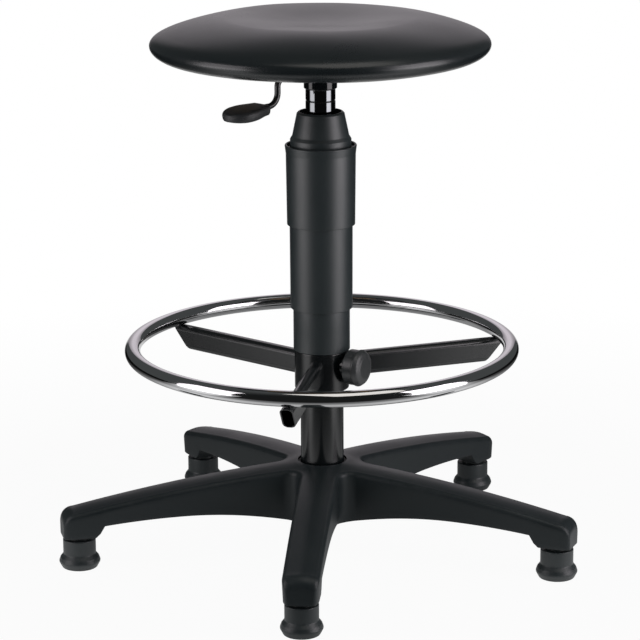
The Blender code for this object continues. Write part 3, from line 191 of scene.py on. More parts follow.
RING_R = 0.21875
RING_TUBE_R = 0.009
RING_Z = 0.2431
ARM_AZIMUTHS = [math.radians(a) for a in (260.0, 20.0, 140.0)]
ARM_WIDTH = 0.015
ARM_HEIGHT = 0.028
ARM_CORNER = 0.006
ARM_WALL = 0.0015
ARM_EDGE = 0.0004
ARM_EDGE_BACK = 0.0005
ARM_END_SLANT = 0.025
ARM_FAR_TOP = RING_R + 0.01
ARM_TOP = RING_Z - RING_TUBE_R - FIT
RING_HUB_R = 0.0315
RING_HUB_BORE_R = 0.0283
RING_HUB_BOTTOM = 0.1951
RING_HUB_TOP = 0.2411
CLAMP_AZIMUTH = math.radians(330.0)
CLAMP_Z = 0.2241
CLAMP_HOLE_R = 0.0054
NUT_R = 0.0113
NUT_FAR = 0.0465
NUT_BORE_R = 0.0043
NUT_EDGE = 0.0014
KNOB_R = 0.0215
KNOB_NEAR = 0.048
KNOB_FAR = 0.058
KNOB_BORE_END = 0.0555
KNOB_STEP = 0.001
KNOB_RIM = 0.0095
KNOB_SKIRT_WALL = 0.003
KNOB_SKIRT_START = MIDDLE_TOP_R + 0.0009

ROUND_STEPS = 128
FLAT_HOLD = 0.0005

FLOOR_HALF = 7.0
BACKDROP_HALF, BACKDROP_Y, BACKDROP_TOP = 1.45, 4.2, 3.6
# place, aim, size, watts and colour of each soft box
SOFTBOXES = {
    "left_box": ((-1.232, -0.552, 0.69), (0, 0, 0.69), (0.86, 1.34), 6.0, (1.0, 0.94, 0.97)),
    "right_box": ((1.232, -0.552, 0.69), (0, 0, 0.69), (0.86, 1.34), 9.2, (1.0, 0.94, 0.98)),
    "front_box": ((0.45, -0.65, 2.2), (0.25, -0.35, 0.4), (1.4, 1.5), 6.0, (1.0, 0.96, 0.91))}
CAMERA_PLACE = (0.0, -3.14641, 1.09636)
CAMERA_LENS, CAMERA_SENSOR = 158.36, 36.0
CAMERA_YAW, CAMERA_PITCH, CAMERA_ROLL = 0.000604, -0.255384, -0.005328


# ---- shapes as arrays
def rounded(corners, closed=True, steps=5):
    """Profile through (radius, height) or (radius, height, rounding) corners.

    A rounded corner becomes an arc that touches both of its sides: the arc's ends lie at
    rounding / tan(half the corner's angle) from the corner. A long straight side gets a point close to
    each of its ends, so that it is shaded flat.
    """
    spots = np.array([c[:2] for c in corners], float)
    count = len(spots)
    points = []
    for i, here in enumerate(spots):
        r = corners[i][2] if len(corners[i]) > 2 else 0
        if r <= 0 or (not closed and i in (0, count - 1)):
            points.append(here[None])
            continue
        before = spots[(i - 1) % count] - here
        after = spots[(i + 1) % count] - here
        a, b = before / np.linalg.norm(before), after / np.linalg.norm(after)
        half = 0.5 * math.acos(max(-1.0, min(1.0, float(a @ b))))
        reach = min(r / math.tan(half), 0.49 * np.linalg.norm(before), 0.49 * np.linalg.norm(after))
        r = reach * math.tan(half)
        middle = here + (a + b) / np.linalg.norm(a + b) * r / math.sin(half)
        start, end = here + a * reach - middle, here + b * reach - middle
        sweep = math.pi - 2 * half
        t = np.linspace(0, 1, steps + 1)[:, None]
        arc = (np.sin((1 - t) * sweep) * start + np.sin(t * sweep) * end) / math.sin(sweep)
        points.append(middle + arc)
    held = []
    for i, chunk in enumerate(points):
        held.append(chunk)
        if i == count - 1 and not closed:
            break
        start, end = chunk[-1], points[(i + 1) % count][0]
        length = np.linalg.norm(end - start)
        if length > 4 * FLAT_HOLD:
            step = (end - start) / length * FLAT_HOLD
            held.append(np.array([start + step, end - step]))
    return np.concatenate(held)


def full_turn(count):
    """Even angles round a full turn."""
    return 2 * math.pi * np.arange(count) / count


def quarter(count):
    """Even angles from 0 to a right angle, with both ends."""
    return np.linspace(0, 0.5 * math.pi, count)


def raised(spots, heights):
    """Plane points with their heights."""
    return np.concatenate([spots, heights[..., None]], -1)


def turned_profile(profile, count=ROUND_STEPS):
    """Surface of revolution about Z: (radius cos a, radius sin a, height) for every angle a."""
    a = full_turn(count)
    r, z = profile[:, 0][:, None], profile[:, 1][:, None]
    return np.stack([r * np.cos(a), r * np.sin(a), z + 0 * a], -1)


def skin(grid, wrap_rows=False, wrap_columns=True):
    """Points and four-sided faces of a grid of points, closed along rows or columns if asked."""
    rows, columns = grid.shape[:2]
    index = np.arange(rows * columns).reshape(rows, columns)
    right = np.roll(index, -1, 1)
    near, far = (index, np.roll(index, -1, 0)) if wrap_rows else (index[:-1], index[1:])
    near_right, far_right = (right, np.roll(right, -1, 0)) if wrap_rows else (right[:-1], right[1:])
    faces = np.stack([near, near_right, far_right, far], -1)
    if not wrap_columns:
        faces = faces[:, :-1]
    return grid.reshape(-1, 3), faces.reshape(-1, 4)


def laid_out(surface, azimuth=0.0, place=(0, 0, 0)):
    """A surface turned about Z by the azimuth and then moved."""
    points, faces = surface
    c, s = math.cos(azimuth), math.sin(azimuth)
    turn = np.array([[c, s, 0], [-s, c, 0], [0, 0, 1]])
    return points @ turn + np.array(place), faces


def along_x(points):
    """A body of revolution turned from the Z axis onto the X axis: (x, y, z) becomes (z, y, -x)."""
    return np.stack([points[..., 2], points[..., 1], -points[..., 0]], -1)


def solid_mesh(name, surfaces):
    """Mesh of several (points, faces) surfaces: doubles merged, faces outwards."""
    points = np.concatenate([s[0] for s in surfaces])
    starts = np.cumsum([0] + [len(s[0]) for s in surfaces[:-1]])
    faces = np.concatenate([s[1] + n for s, n in zip(surfaces, starts)])
    mesh = bpy.data.meshes.new(name)
    mesh.from_pydata(points.tolist(), [], faces.tolist())
    work = bmesh.new()
    work.from_mesh(mesh)
    bmesh.ops.remove_doubles(work, verts=work.verts, dist=2e-6)
    bmesh.ops.dissolve_degenerate(work, edges=work.edges, dist=1e-7)
    bmesh.ops.recalc_face_normals(work, faces=work.faces)
    work.to_mesh(mesh)
    work.free()
    return mesh


def linked(name, data):
    """A new object in the scene."""
    made = bpy.data.objects.new(name, data)
    scene.collection.objects.link(made)
    return made


def piece(name, surfaces, finish, body, replaces=(), crease=34.0):
    """A finished piece at the origin, shaded smooth up to the crease angle."""
    mesh = surfaces if isinstance(surfaces, bpy.types.Mesh) else solid_mesh(name, surfaces)
    mesh.polygons.foreach_set("use_smooth", np.ones(len(mesh.polygons), bool))
    mesh.set_sharp_from_angle(angle=math.radians(crease))
    mesh.materials.clear()
    mesh.materials.append(finish)
    made = linked(name, mesh)
    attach(made, body)
    if replaces:
        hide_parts(*replaces)
    return made


def turned_piece(name, corners, finish, body, node):
    """A piece turned about Z from a closed profile of rounded corners."""
    return piece(name, [skin(turned_profile(rounded(corners)), wrap_rows=True)], finish, body, [node])


def carved(mesh, cutter_surfaces, name):
    """Mesh with the cutters taken out of it."""
    body = linked(name, mesh)
    tool = linked(name + "_cutters", solid_mesh(name + "_cutters", cutter_surfaces))
    step = body.modifiers.new("pockets", "BOOLEAN")
    step.operation = "DIFFERENCE"
    step.object = tool
    step.solver = "EXACT"
    bpy.context.view_layer.update()
    done = bpy.data.meshes.new_from_object(body.evaluated_get(bpy.context.evaluated_depsgraph_get()))
    for item in (body, tool):
        bpy.data.objects.remove(item, do_unlink=True)
    return done


# ---- node trees
def lay(tree, kind, settings=None, **inputs):
    """One node with its settings; an input is a value or another node's output."""
    made = tree.nodes.new("ShaderNode" + kind)
    for key, value in (settings or {}).items():
        setattr(made, key, value)
    for key, value in inputs.items():
        numbered = key[0] == "i" and key[1:].isdigit()
        socket = made.inputs[int(key[1:]) if numbered else key.replace("_", " ")]
        if isinstance(value, bpy.types.NodeSocket):
            tree.links.new(value, socket)
        else:
            socket.default_value = value
    return made


def effect(name, inputs, outputs=(("Mask", "Float"),)):
    """An empty node group with a Vector and named inputs, its outputs, and its in and out nodes."""
    tree = bpy.data.node_groups.new(name, "ShaderNodeTree")
    new_socket = tree.interface.new_socket
    new_socket(name="Vector", in_out="INPUT", socket_type="NodeSocketVector")
    for label, value in inputs.items():
        kind = "NodeSocketColor" if isinstance(value, tuple) else "NodeSocketFloat"
        new_socket(name=label, in_out="INPUT", socket_type=kind).default_value = value
    for label, kind in outputs:
        new_socket(name=label, in_out="OUTPUT", socket_type="NodeSocket" + kind)
    return tree, tree.nodes.new("NodeGroupInput").outputs, tree.nodes.new("NodeGroupOutput").inputs


def place_of(tree):
    """Place of a point in its piece's own frame."""
    return lay(tree, "TexCoord").outputs["Object"]


def split(tree, vector):
    """X, Y and Z of a vector."""
    return lay(tree, "SeparateXYZ", None, Vector=vector).outputs


def math_of(tree, operation, a, b=0.0, clamp=False):
    """One sum of two values."""
    return lay(tree, "Math", {"operation": operation, "use_clamp": clamp}, i0=a, i1=b).outputs[0]


def product(tree, value, *factors):
    """A value times each factor in turn."""
    for factor in factors:
        value = math_of(tree, "MULTIPLY", value, factor)
    return value


def blend(tree, share, low, high):
    """Colour between low at 0 and high at 1."""
    return lay(tree, "Mix", {"data_type": "RGBA"}, i0=share, i6=low, i7=high).outputs[2]


def ramp(tree, value, low, high, out_low=0.0, out_high=1.0):
    """Value carried from low..high to out_low..out_high, held at both ends."""
    return lay(tree, "MapRange", {"clamp": True}, Value=value, From_Min=low, From_Max=high,
               To_Min=out_low, To_Max=out_high).outputs[0]


def noise(tree, vector, scale, detail=2.0, roughness=0.5):
    """Noise of one scale."""
    return lay(tree, "TexNoise", None, Vector=vector, Scale=scale, Detail=detail,
               Roughness=roughness).outputs["Fac"]


def grain_group():
    """Moulded grain: fine pits, slow mottling of colour and gloss."""
    tree, given, out = effect("moulded_grain", {
        "Grain Scale": 900.0, "Mottle Scale": 14.0, "Dark": (0.02, 0.02, 0.02, 1),
        "Light": (0.03, 0.03, 0.03, 1), "Gloss Rough": 0.35, "Dull Rough": 0.5},
        [("Colour", "Color"), ("Roughness", "Float"), ("Height", "Float")])
    fine = noise(tree, given["Vector"], given["Grain Scale"], 3.0, 0.6)
    slow = noise(tree, given["Vector"], given["Mottle Scale"], 4.0, 0.55)
    mottle = ramp(tree, slow, 0.35, 0.65)
    tree.links.new(blend(tree, mottle, given["Dark"], given["Light"]), out["Colour"])
    streak = math_of(tree, "ADD", product(tree, fine, 0.35), product(tree, slow, 0.65))
    tree.links.new(ramp(tree, streak, 0.3, 0.7, given["Gloss Rough"], given["Dull Rough"]), out["Roughness"])
    tree.links.new(fine, out["Height"])
    return tree


def wear_group():
    """Worn edges: convex places of the surface, broken up by noise. Mask is 1 where worn."""
    tree, given, out = effect("worn_edges", {"Amount": 0.5, "Break Up": 90.0})
    point = lay(tree, "NewGeometry").outputs["Pointiness"]
    edge = ramp(tree, point, 0.505, 0.56)
    broken = ramp(tree, noise(tree, given["Vector"], given["Break Up"], 5.0, 0.65), 0.42, 0.62)
    mask = math_of(tree, "MULTIPLY", product(tree, edge, broken), given["Amount"], True)
    tree.links.new(mask, out["Mask"])
    return tree


def dust_group():
    """Thin dust: upward faces, thicker in slow patches. Mask is 1 where dusty."""
    tree, given, out = effect("thin_dust", {"Amount": 0.2})
    up = ramp(tree, split(tree, lay(tree, "NewGeometry").outputs["Normal"])["Z"], 0.45, 1.0)
    patch = ramp(tree, noise(tree, given["Vector"], 30.0, 6.0, 0.6), 0.3, 0.75)
    speck = ramp(tree, noise(tree, given["Vector"], 1400.0, 1.0), 0.6, 0.72)
    spread = math_of(tree, "ADD", product(tree, patch, 0.6), product(tree, speck, 0.4))
    mask = math_of(tree, "MULTIPLY", product(tree, up, spread), given["Amount"], True)
    tree.links.new(mask, out["Mask"])
    return tree


def scuff_group():
    """Scuffs: thin stretched streaks along one axis. Mask is 1 in a streak."""
    tree, given, out = effect("fine_scuffs", {"Scale": 60.0, "Amount": 0.3})
    a = noise(tree, given["Vector"], given["Scale"], 8.0, 0.75)
    b = noise(tree, given["Vector"], 9.0, 2.0)
    thin = ramp(tree, math_of(tree, "ABSOLUTE", math_of(tree, "SUBTRACT", a, 0.5)), 0.0, 0.018, 1.0, 0.0)
    mask = product(tree, thin, ramp(tree, b, 0.5, 0.7))
    tree.links.new(math_of(tree, "MULTIPLY", mask, given["Amount"], True), out["Mask"])
    return tree


GRAIN = grain_group()
WEAR = wear_group()
DUST = dust_group()
SCUFF = scuff_group()
WORN_COLOUR = (0.1, 0.1, 0.105, 1)
DUST_COLOUR = (0.22, 0.21, 0.2, 1)
FINISHES = {}


def finish(name, dark, light, gloss, dull, grain=900.0, mottle=14.0, depth=0.00002, strength=0.3, wear=0.0,
           dust=0.03, scuffs=0.2, metallic=0.0, coat=0.0, coat_rough=0.1, specular=0.5, stretch=None):
    """A finish built of moulded grain, worn edges, scuffs and thin dust on one shader."""
    made = bpy.data.materials.new(name)
    made.use_nodes = True
    tree = made.node_tree
    shader = tree.nodes["Principled BSDF"]
    place = place_of(tree)
    if stretch:
        place = lay(tree, "VectorMath", {"operation": "MULTIPLY"}, i0=place, i1=stretch).outputs[0]
    base = lay(tree, "Group", {"node_tree": GRAIN}, Vector=place, Grain_Scale=grain, Mottle_Scale=mottle,
               Dark=(*dark, 1), Light=(*light, 1), Gloss_Rough=gloss, Dull_Rough=dull)
    worn, dusty, scuffed = [
        lay(tree, "Group", {"node_tree": group}, Vector=place, Amount=amount).outputs[0]
        for group, amount in ((WEAR, wear), (DUST, dust), (SCUFF, scuffs))]
    colour = blend(tree, worn, base.outputs["Colour"], WORN_COLOUR)
    colour = blend(tree, dusty, colour, DUST_COLOUR)
    tree.links.new(colour, shader.inputs["Base Color"])
    rough = math_of(tree, "ADD", base.outputs["Roughness"], product(tree, scuffed, 0.25), True)
    rough = math_of(tree, "ADD", rough, product(tree, dusty, 0.5), True)
    tree.links.new(rough, shader.inputs["Roughness"])
    height = math_of(tree, "SUBTRACT", base.outputs["Height"], product(tree, scuffed, 0.5))
    bump = lay(tree, "Bump", None, Height=height, Strength=strength, Distance=depth)
    tree.links.new(bump.outputs[0], shader.inputs["Normal"])
    for label, value in (("Metallic", metallic), ("Specular IOR Level", specular), ("Coat Weight", coat),
                         ("Coat Roughness", coat_rough)):
        shader.inputs[label].default_value = value
    FINISHES[name] = made
    return made


BLACK_NYLON = finish("black_nylon", (0.019, 0.027, 0.029), (0.024, 0.032, 0.034), 0.36, 0.5,
                     grain=1100.0, depth=0.00003, strength=0.35, wear=0.25, dust=0.05, specular=0.75)
# The glides' black nylon made darker and less glossy for the base: partly its own colour, partly painted
# shade on the legs' shaded sides.
BASE_NYLON_PAINTED_SHADE = finish("base_nylon", (0.0175, 0.024, 0.0262), (0.021, 0.0278, 0.03), 0.36, 0.48,
                    grain=1100.0, depth=0.00003, strength=0.35, wear=0.25, dust=0.05, specular=0.4)
KNOB_NYLON = finish("knob_nylon", (0.043, 0.047, 0.048), (0.05, 0.054, 0.055), 0.34, 0.46, grain=1300.0,
                    depth=0.00003, wear=0.2, specular=1.0)
PADDLE_NYLON = finish("paddle_nylon", (0.024, 0.027, 0.029), (0.029, 0.032, 0.034), 0.46, 0.6, grain=800.0,
                      depth=0.00004, strength=0.5, wear=0.2, scuffs=0.4, specular=0.7)
SLEEVE_PLASTIC = finish("sleeve_plastic", (0.0215, 0.032, 0.034), (0.025, 0.036, 0.0385), 0.39, 0.49,
                        grain=1000.0, wear=0.25, dust=0.04, specular=1.0)
FOAM_SKIN = finish("foam_skin", (0.0125, 0.0175, 0.0195), (0.016, 0.021, 0.023), 0.25, 0.32, grain=700.0,
                   mottle=9.0, depth=0.00006, strength=0.35, wear=0.05, dust=0.04, scuffs=0.1,
                   specular=0.75)
BLACK_PAINT = finish("black_paint", (0.0065, 0.0085, 0.0095), (0.009, 0.011, 0.012), 0.16, 0.26,
                     grain=500.0, strength=0.2, wear=0.3, coat=0.2, coat_rough=0.15, dust=0.04,
                     specular=0.7)
COLUMN_PAINT = finish("column_paint", (0.006, 0.008, 0.0088), (0.0078, 0.0098, 0.0105), 0.15, 0.24,
                      grain=420.0, strength=0.15, wear=0.3, specular=1.0)
SLEEVE_STEEL = finish("sleeve_steel", (0.006, 0.007, 0.0075), (0.008, 0.009, 0.0095), 0.5, 0.62,
                      grain=500.0, specular=0.25)
GLOSS_PAINT = finish("gloss_paint", (0.18, 0.19, 0.2), (0.22, 0.23, 0.24), 0.05, 0.1, grain=300.0,
                     depth=0.00001, strength=0.1, dust=0.02, scuffs=0.08, metallic=1.0)
CHROME = finish("chrome", (0.74, 0.74, 0.755), (0.78, 0.78, 0.79), 0.05, 0.085, grain=600.0, mottle=22.0,
                depth=0.000001, strength=0.05, dust=0.02, scuffs=0.1, metallic=1.0)
STEEL = finish("steel", (0.48, 0.48, 0.49), (0.56, 0.56, 0.57), 0.24, 0.36, grain=800.0, depth=0.00001,
               metallic=1.0)
finish("brass", (0.66, 0.49, 0.22), (0.74, 0.56, 0.27), 0.24, 0.36, grain=800.0, depth=0.00001, metallic=1.0)
finish("bush_plastic", (0.62, 0.62, 0.58), (0.72, 0.72, 0.68), 0.38, 0.5, dust=0.05)
finish("plywood", (0.4, 0.25, 0.13), (0.58, 0.41, 0.24), 0.5, 0.65, grain=160.0, mottle=26.0,
       depth=0.0001, strength=0.5, dust=0.06, stretch=(1.0, 7.0, 14.0))


def darken_above(made, level, dark):
    """The bright plating ends at a height: above it the finish is plain black paint."""
    tree = made.node_tree
    shader = tree.nodes["Principled BSDF"]
    plated = ramp(tree, split(tree, place_of(tree))["Z"], level, level + 0.0004, 1.0, 0.0)
    bright = shader.inputs["Base Color"].links[0].from_socket
    tree.links.new(blend(tree, plated, (*dark, 1), bright), shader.inputs["Base Color"])
    tree.links.new(plated, shader.inputs["Metallic"])


darken_above(GLOSS_PAINT, SOCKET_HEAD_BOTTOM - 0.0012, (0.006, 0.008, 0.009))


def dress_cad_nodes():
    """Every CAD node that stays takes the finish of its own material's name."""
    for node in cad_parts.values():
        for spot in node.material_slots:
            name = spot.material.name.split(".")[0] if spot.material else ""
            spot.material = FINISHES.get(name, STEEL)


# ---- base
def leg_top(r):
    """Ridge height: a straight fall from hub to nose plus a low parabola."""
    t = (r - LEG_TOP_AT_HUB_R) / (NOSE_R - LEG_TOP_AT_HUB_R)
    return LEG_TOP_AT_HUB + t * (LEG_TOP_AT_NOSE - LEG_TOP_AT_HUB) + LEG_CROWN * 4 * t * (1 - t)


def leg_half(r):
    """Half of a leg's width at its shoulder, narrowing evenly to the tip."""
    return 0.5 * (LEG_WIDTH_AT_HUB + r / NOSE_R * (LEG_WIDTH_AT_TIP - LEG_WIDTH_AT_HUB))


def leg_under(r):
    """Lower edge: parabolas from the arch's top down to the hub and down to the tip boss."""
    boss = LEG_TIP_R - BOSS_LENGTH
    inner = LEG_ARCH_UNDER - UNDER_DROP_AT_HUB * ((LEG_ARCH_R - r) / (LEG_ARCH_R - COLUMN_R)) ** 2
    outer = LEG_ARCH_UNDER - UNDER_DROP_AT_BOSS * ((r - LEG_ARCH_R) / (boss - LEG_ARCH_R)) ** 2
    step = np.clip((r - boss) / 0.004, 0, 1)
    level = np.where(r < LEG_ARCH_R, np.maximum(HUB_BOTTOM, inner), outer)
    return level * (1 - step) + LEG_BOTTOM * step


def star_half():
    """Half of one leg with its share of the hub, from the bisector to the tip.

    Rows run along the leg. Each row goes from the spine to the shoulder on the top, round the
    shoulder by a quarter circle, down the drafted side and back under the leg to the spine. The
    outline is a fillet arc that touches the leg's side, then the side, then a nose whose width
    and height shrink as one minus a cosine.
    """
    half_angle = math.pi / LEG_COUNT
    side = leg_half(HUB_FILLET_END)
    centre = np.array([HUB_FILLET_END, side + HUB_FILLET])
    arc_rows, leg_rows, nose_rows = 12, 46, 12
    # hub rows: the spine follows the bore, the outline follows the fillet arc
    s = np.linspace(0, 1, arc_rows)
    bore_turn = half_angle * np.clip(1 - s / HUB_BORE_SHARE, 0, 1)
    past_bore = np.clip((s - HUB_BORE_SHARE) / (1 - HUB_BORE_SHARE), 0, 1)
    bore_x = HUB_BORE_R * np.cos(bore_turn) + past_bore * (HUB_FILLET_END - HUB_BORE_R)
    spine_hub = np.stack([bore_x, HUB_BORE_R * np.sin(bore_turn)], -1)
    start = math.pi + half_angle
    turn = start + s * (1.5 * math.pi - start)
    edge_hub = centre + HUB_FILLET * np.stack([np.cos(turn), np.sin(turn)], -1)
    # leg rows and nose rows
    r = np.linspace(HUB_FILLET_END, NOSE_R, leg_rows)[1:]
    spine_leg = np.stack([r, 0 * r], -1)
    edge_leg = np.stack([r, leg_half(r)], -1)
    a = quarter(nose_rows)[1:]
    bend = 1 - np.cos(a)
    nose_x = NOSE_R + LEG_NOSE * np.sin(a)
    spine_nose = np.stack([nose_x, 0 * a], -1)
    edge_nose = np.stack([nose_x, 0.5 * (LEG_WIDTH_AT_TIP - NOSE_NARROWING * bend)], -1)
    spine = np.concatenate([spine_hub, spine_leg, spine_nose])
    edge = np.concatenate([edge_hub, edge_leg, edge_nose])
    out = np.concatenate([(centre - edge_hub) / HUB_FILLET, np.tile([0.0, 1.0], (len(r) + len(a), 1))])
    drop = np.concatenate([np.zeros(arc_rows + len(r)), NOSE_DROP * bend])
    # top from the spine to the shoulder
    shoulder = edge - out * LEG_EDGE
    q = np.linspace(0, 1, 11)[None, :, None]
    flat = spine[:, None] * (1 - q) + shoulder[:, None] * q
    away = np.hypot(*np.moveaxis(flat - centre, -1, 0)) - HUB_FILLET
    depth = np.where(flat[..., 0] < HUB_FILLET_END, away, edge[:, 1][:, None] - flat[..., 1])
    depth[arc_rows:] = edge[arc_rows:, 1][:, None] - flat[arc_rows:, :, 1]
    widest = np.where(np.arange(len(edge)) < arc_rows, side, edge[:, 1])[:, None]
    share = np.clip(1 - (depth - LEG_EDGE) / (widest - LEG_EDGE), 0, 1) ** LEG_RIDGE_POWER
    reach = np.hypot(flat[..., 0], flat[..., 1])
    rise = HUB_RISE * np.exp(-((reach - HUB_BORE_R) / HUB_RISE_WIDTH) ** 2)
    top = raised(flat, leg_top(np.minimum(reach, NOSE_R)) + rise - drop[:, None] - LEG_RIDGE * share)
    # shoulder arc
    f = quarter(8)[1:]
    level = top[:, -1, 2][:, None] - LEG_EDGE * (1 - np.cos(f))
    arc = raised(shoulder[:, None] + out[:, None] * (LEG_EDGE * np.sin(f))[None, :, None], level)
    # drafted side with a small round at its foot
    bottom = leg_under(np.hypot(edge[:, 0], edge[:, 1]))
    foot = LEG_FOOT_ROUND
    w = np.linspace(0, 1, 7)[1:]
    wall_z = level[:, -1:] + (bottom[:, None] + foot - level[:, -1:]) * w
    wall = raised(edge[:, None] - out[:, None] * (LEG_DRAFT * w)[None, :, None], wall_z)
    g = quarter(4)[1:]
    inset = LEG_DRAFT + foot * (1 - np.cos(g))
    toe = raised(edge[:, None] - out[:, None] * inset[None, :, None],
                 bottom[:, None] + foot * (1 - np.sin(g)))
    # underside back to the spine
    p = np.linspace(0, 1, 9)[1:][None, :, None]
    under_xy = toe[:, -1:, :2] * (1 - p) + spine[:, None] * p
    under = raised(under_xy, leg_under(np.hypot(under_xy[..., 0], under_xy[..., 1])))
    body = np.concatenate([top, arc, wall, toe, under], 1)
    # bore wall: from the spine on the top to the spine below, on the hub's rows only
    on_bore = int(np.argmax(s >= HUB_BORE_SHARE)) + 1
    h = np.linspace(0, 1, 9)[:, None]
    bore = top[:on_bore, 0][:, None] * (1 - h) + under[:on_bore, -1][:, None] * h
    # flat end of the nose: the last row drawn in to its own middle
    last = body[-1]
    middle = np.array([last[:, 0].mean(), 0.0, 0.5 * (last[:, 2].max() + last[:, 2].min())])
    k = np.linspace(0, 1, 5)[:, None, None]
    end = last[None] * (1 - k) + middle * k
    return [skin(grid, wrap_columns=False) for grid in (body, bore, end)]


def leg_cell_cutters():
    """Pockets under one leg: its inner width between two cross ribs, less a low centre rib."""
    start = HUB_BORE_R + HUB_WALL
    end = LEG_TIP_R - BOSS_LENGTH - LEG_WALL
    pitch = (end - start + LEG_RIB) / LEG_CELLS
    cutters = []
    for cell in range(LEG_CELLS):
        near = start + cell * pitch
        r = np.array([near, near + pitch - LEG_RIB])[:, None]
        outer = leg_half(r) - LEG_WALL
        top = leg_top(r) - LEG_SKIN
        rib = 0 * r + LEG_RIB / 2
        y = np.concatenate([rib, rib, outer - LEG_EDGE, outer, outer - LEG_DRAFT], 1)
        z = np.concatenate([top - LEG_RIB_DEPTH, top, top - LEG_RIDGE, top - LEG_RIDGE - LEG_EDGE, 0 * r], 1)
        y, z = np.concatenate([y, -y[:, ::-1]], 1), np.concatenate([z, z[:, ::-1]], 1)
        cutters.append(np.stack([r + 0 * y, y, z], -1))
    return cutters


def capped(section_pair):
    """Closed skin of two matching sections; each end is filled in strips between its two halves."""
    count = section_pair.shape[1]
    points, faces = skin(section_pair)
    low = np.arange(count // 2 - 1)
    strip = np.stack([low, low + 1, count - 2 - low, count - 1 - low], -1)
    return points, np.concatenate([faces, strip, strip + count])


def glide_place(azimuth):
    """Point on the floor under a leg's tip boss."""
    return (GLIDE_CIRCLE * math.cos(azimuth), GLIDE_CIRCLE * math.sin(azimuth), 0)


def make_base():
    """The five-leg base as one body, its sleeve, and five glides."""
    halves, cutters = [], []
    half_leg = star_half()
    stem_top, groove_top = LEG_BOTTOM + STEM_IN_LEG, LEG_BOTTOM + SOCKET_GROOVE_DEPTH
    outer = SOCKET_GROOVE_R + SOCKET_GROOVE_WIDTH
    bore = np.array([(0, 0), (GLIDE_BORE_R, 0), (GLIDE_BORE_R, stem_top), (0, stem_top)])
    groove = np.array([(SOCKET_GROOVE_R, 0), (outer, 0), (outer, groove_top), (SOCKET_GROOVE_R, groove_top)])
    tip_cutters = [skin(turned_profile(bore, 32)), skin(turned_profile(groove, 40), wrap_rows=True)]
    for azimuth in LEG_AZIMUTHS:
        halves += [laid_out((points * np.array([1, side, 1]), faces), azimuth)
                   for side in (1, -1) for points, faces in half_leg]
        cutters += [laid_out(capped(cell), azimuth) for cell in leg_cell_cutters()]
        cutters += [laid_out(tip, 0, glide_place(azimuth)) for tip in tip_cutters]
    star = carved(solid_mesh("base_shell", halves), cutters, "base_star_smooth")
    piece("star_base", star, BASE_NYLON_PAINTED_SHADE, "base", ["base_star"], crease=38)

    foot, top = HUB_BOTTOM + HUB_LEDGE + FIT, HUB_TOP - 0.001
    turned_piece("hub_sleeve", [
        (COLUMN_R - COLUMN_TAPER + FIT, foot), (SLEEVE_R, foot, 0.0004), (SLEEVE_R, top, 0.0006),
        (COLUMN_R + FIT, top, 0.0006), (COLUMN_R + FIT, COLUMN_TAPER_TOP)],
        SLEEVE_STEEL, "base", "base_sleeve")

    neck_top = GLIDE_HEIGHT + GLIDE_NECK_RISE
    floor = neck_top - GLIDE_BORE_DEPTH
    glide = rounded([
        (0, 0), (GLIDE_FOOT_R, 0, 0.002), (GLIDE_DISC_R, GLIDE_EDGE_Z, 0.0035),
        (GLIDE_DISC_R - 0.0018, GLIDE_DISC_HEIGHT - 0.003, 0.0025),
        (GLIDE_BODY_R, GLIDE_DISC_HEIGHT + 0.0012, 0.0025), (GLIDE_BODY_R, GLIDE_HEIGHT, 0.0012),
        (GLIDE_NECK_R, GLIDE_HEIGHT, 0.0005), (GLIDE_NECK_R, neck_top, 0.0004),
        (GLIDE_BORE_R, neck_top, 0.0002), (GLIDE_BORE_R, floor), (0, floor)], closed=False)
    bell = skin(turned_profile(glide, 96))
    for index, azimuth in enumerate(LEG_AZIMUTHS):
        name = f"glide_{index + 1}"
        placed = laid_out(bell, azimuth, glide_place(azimuth))
        piece(name + "_bell", [placed], BLACK_NYLON, name, [name])


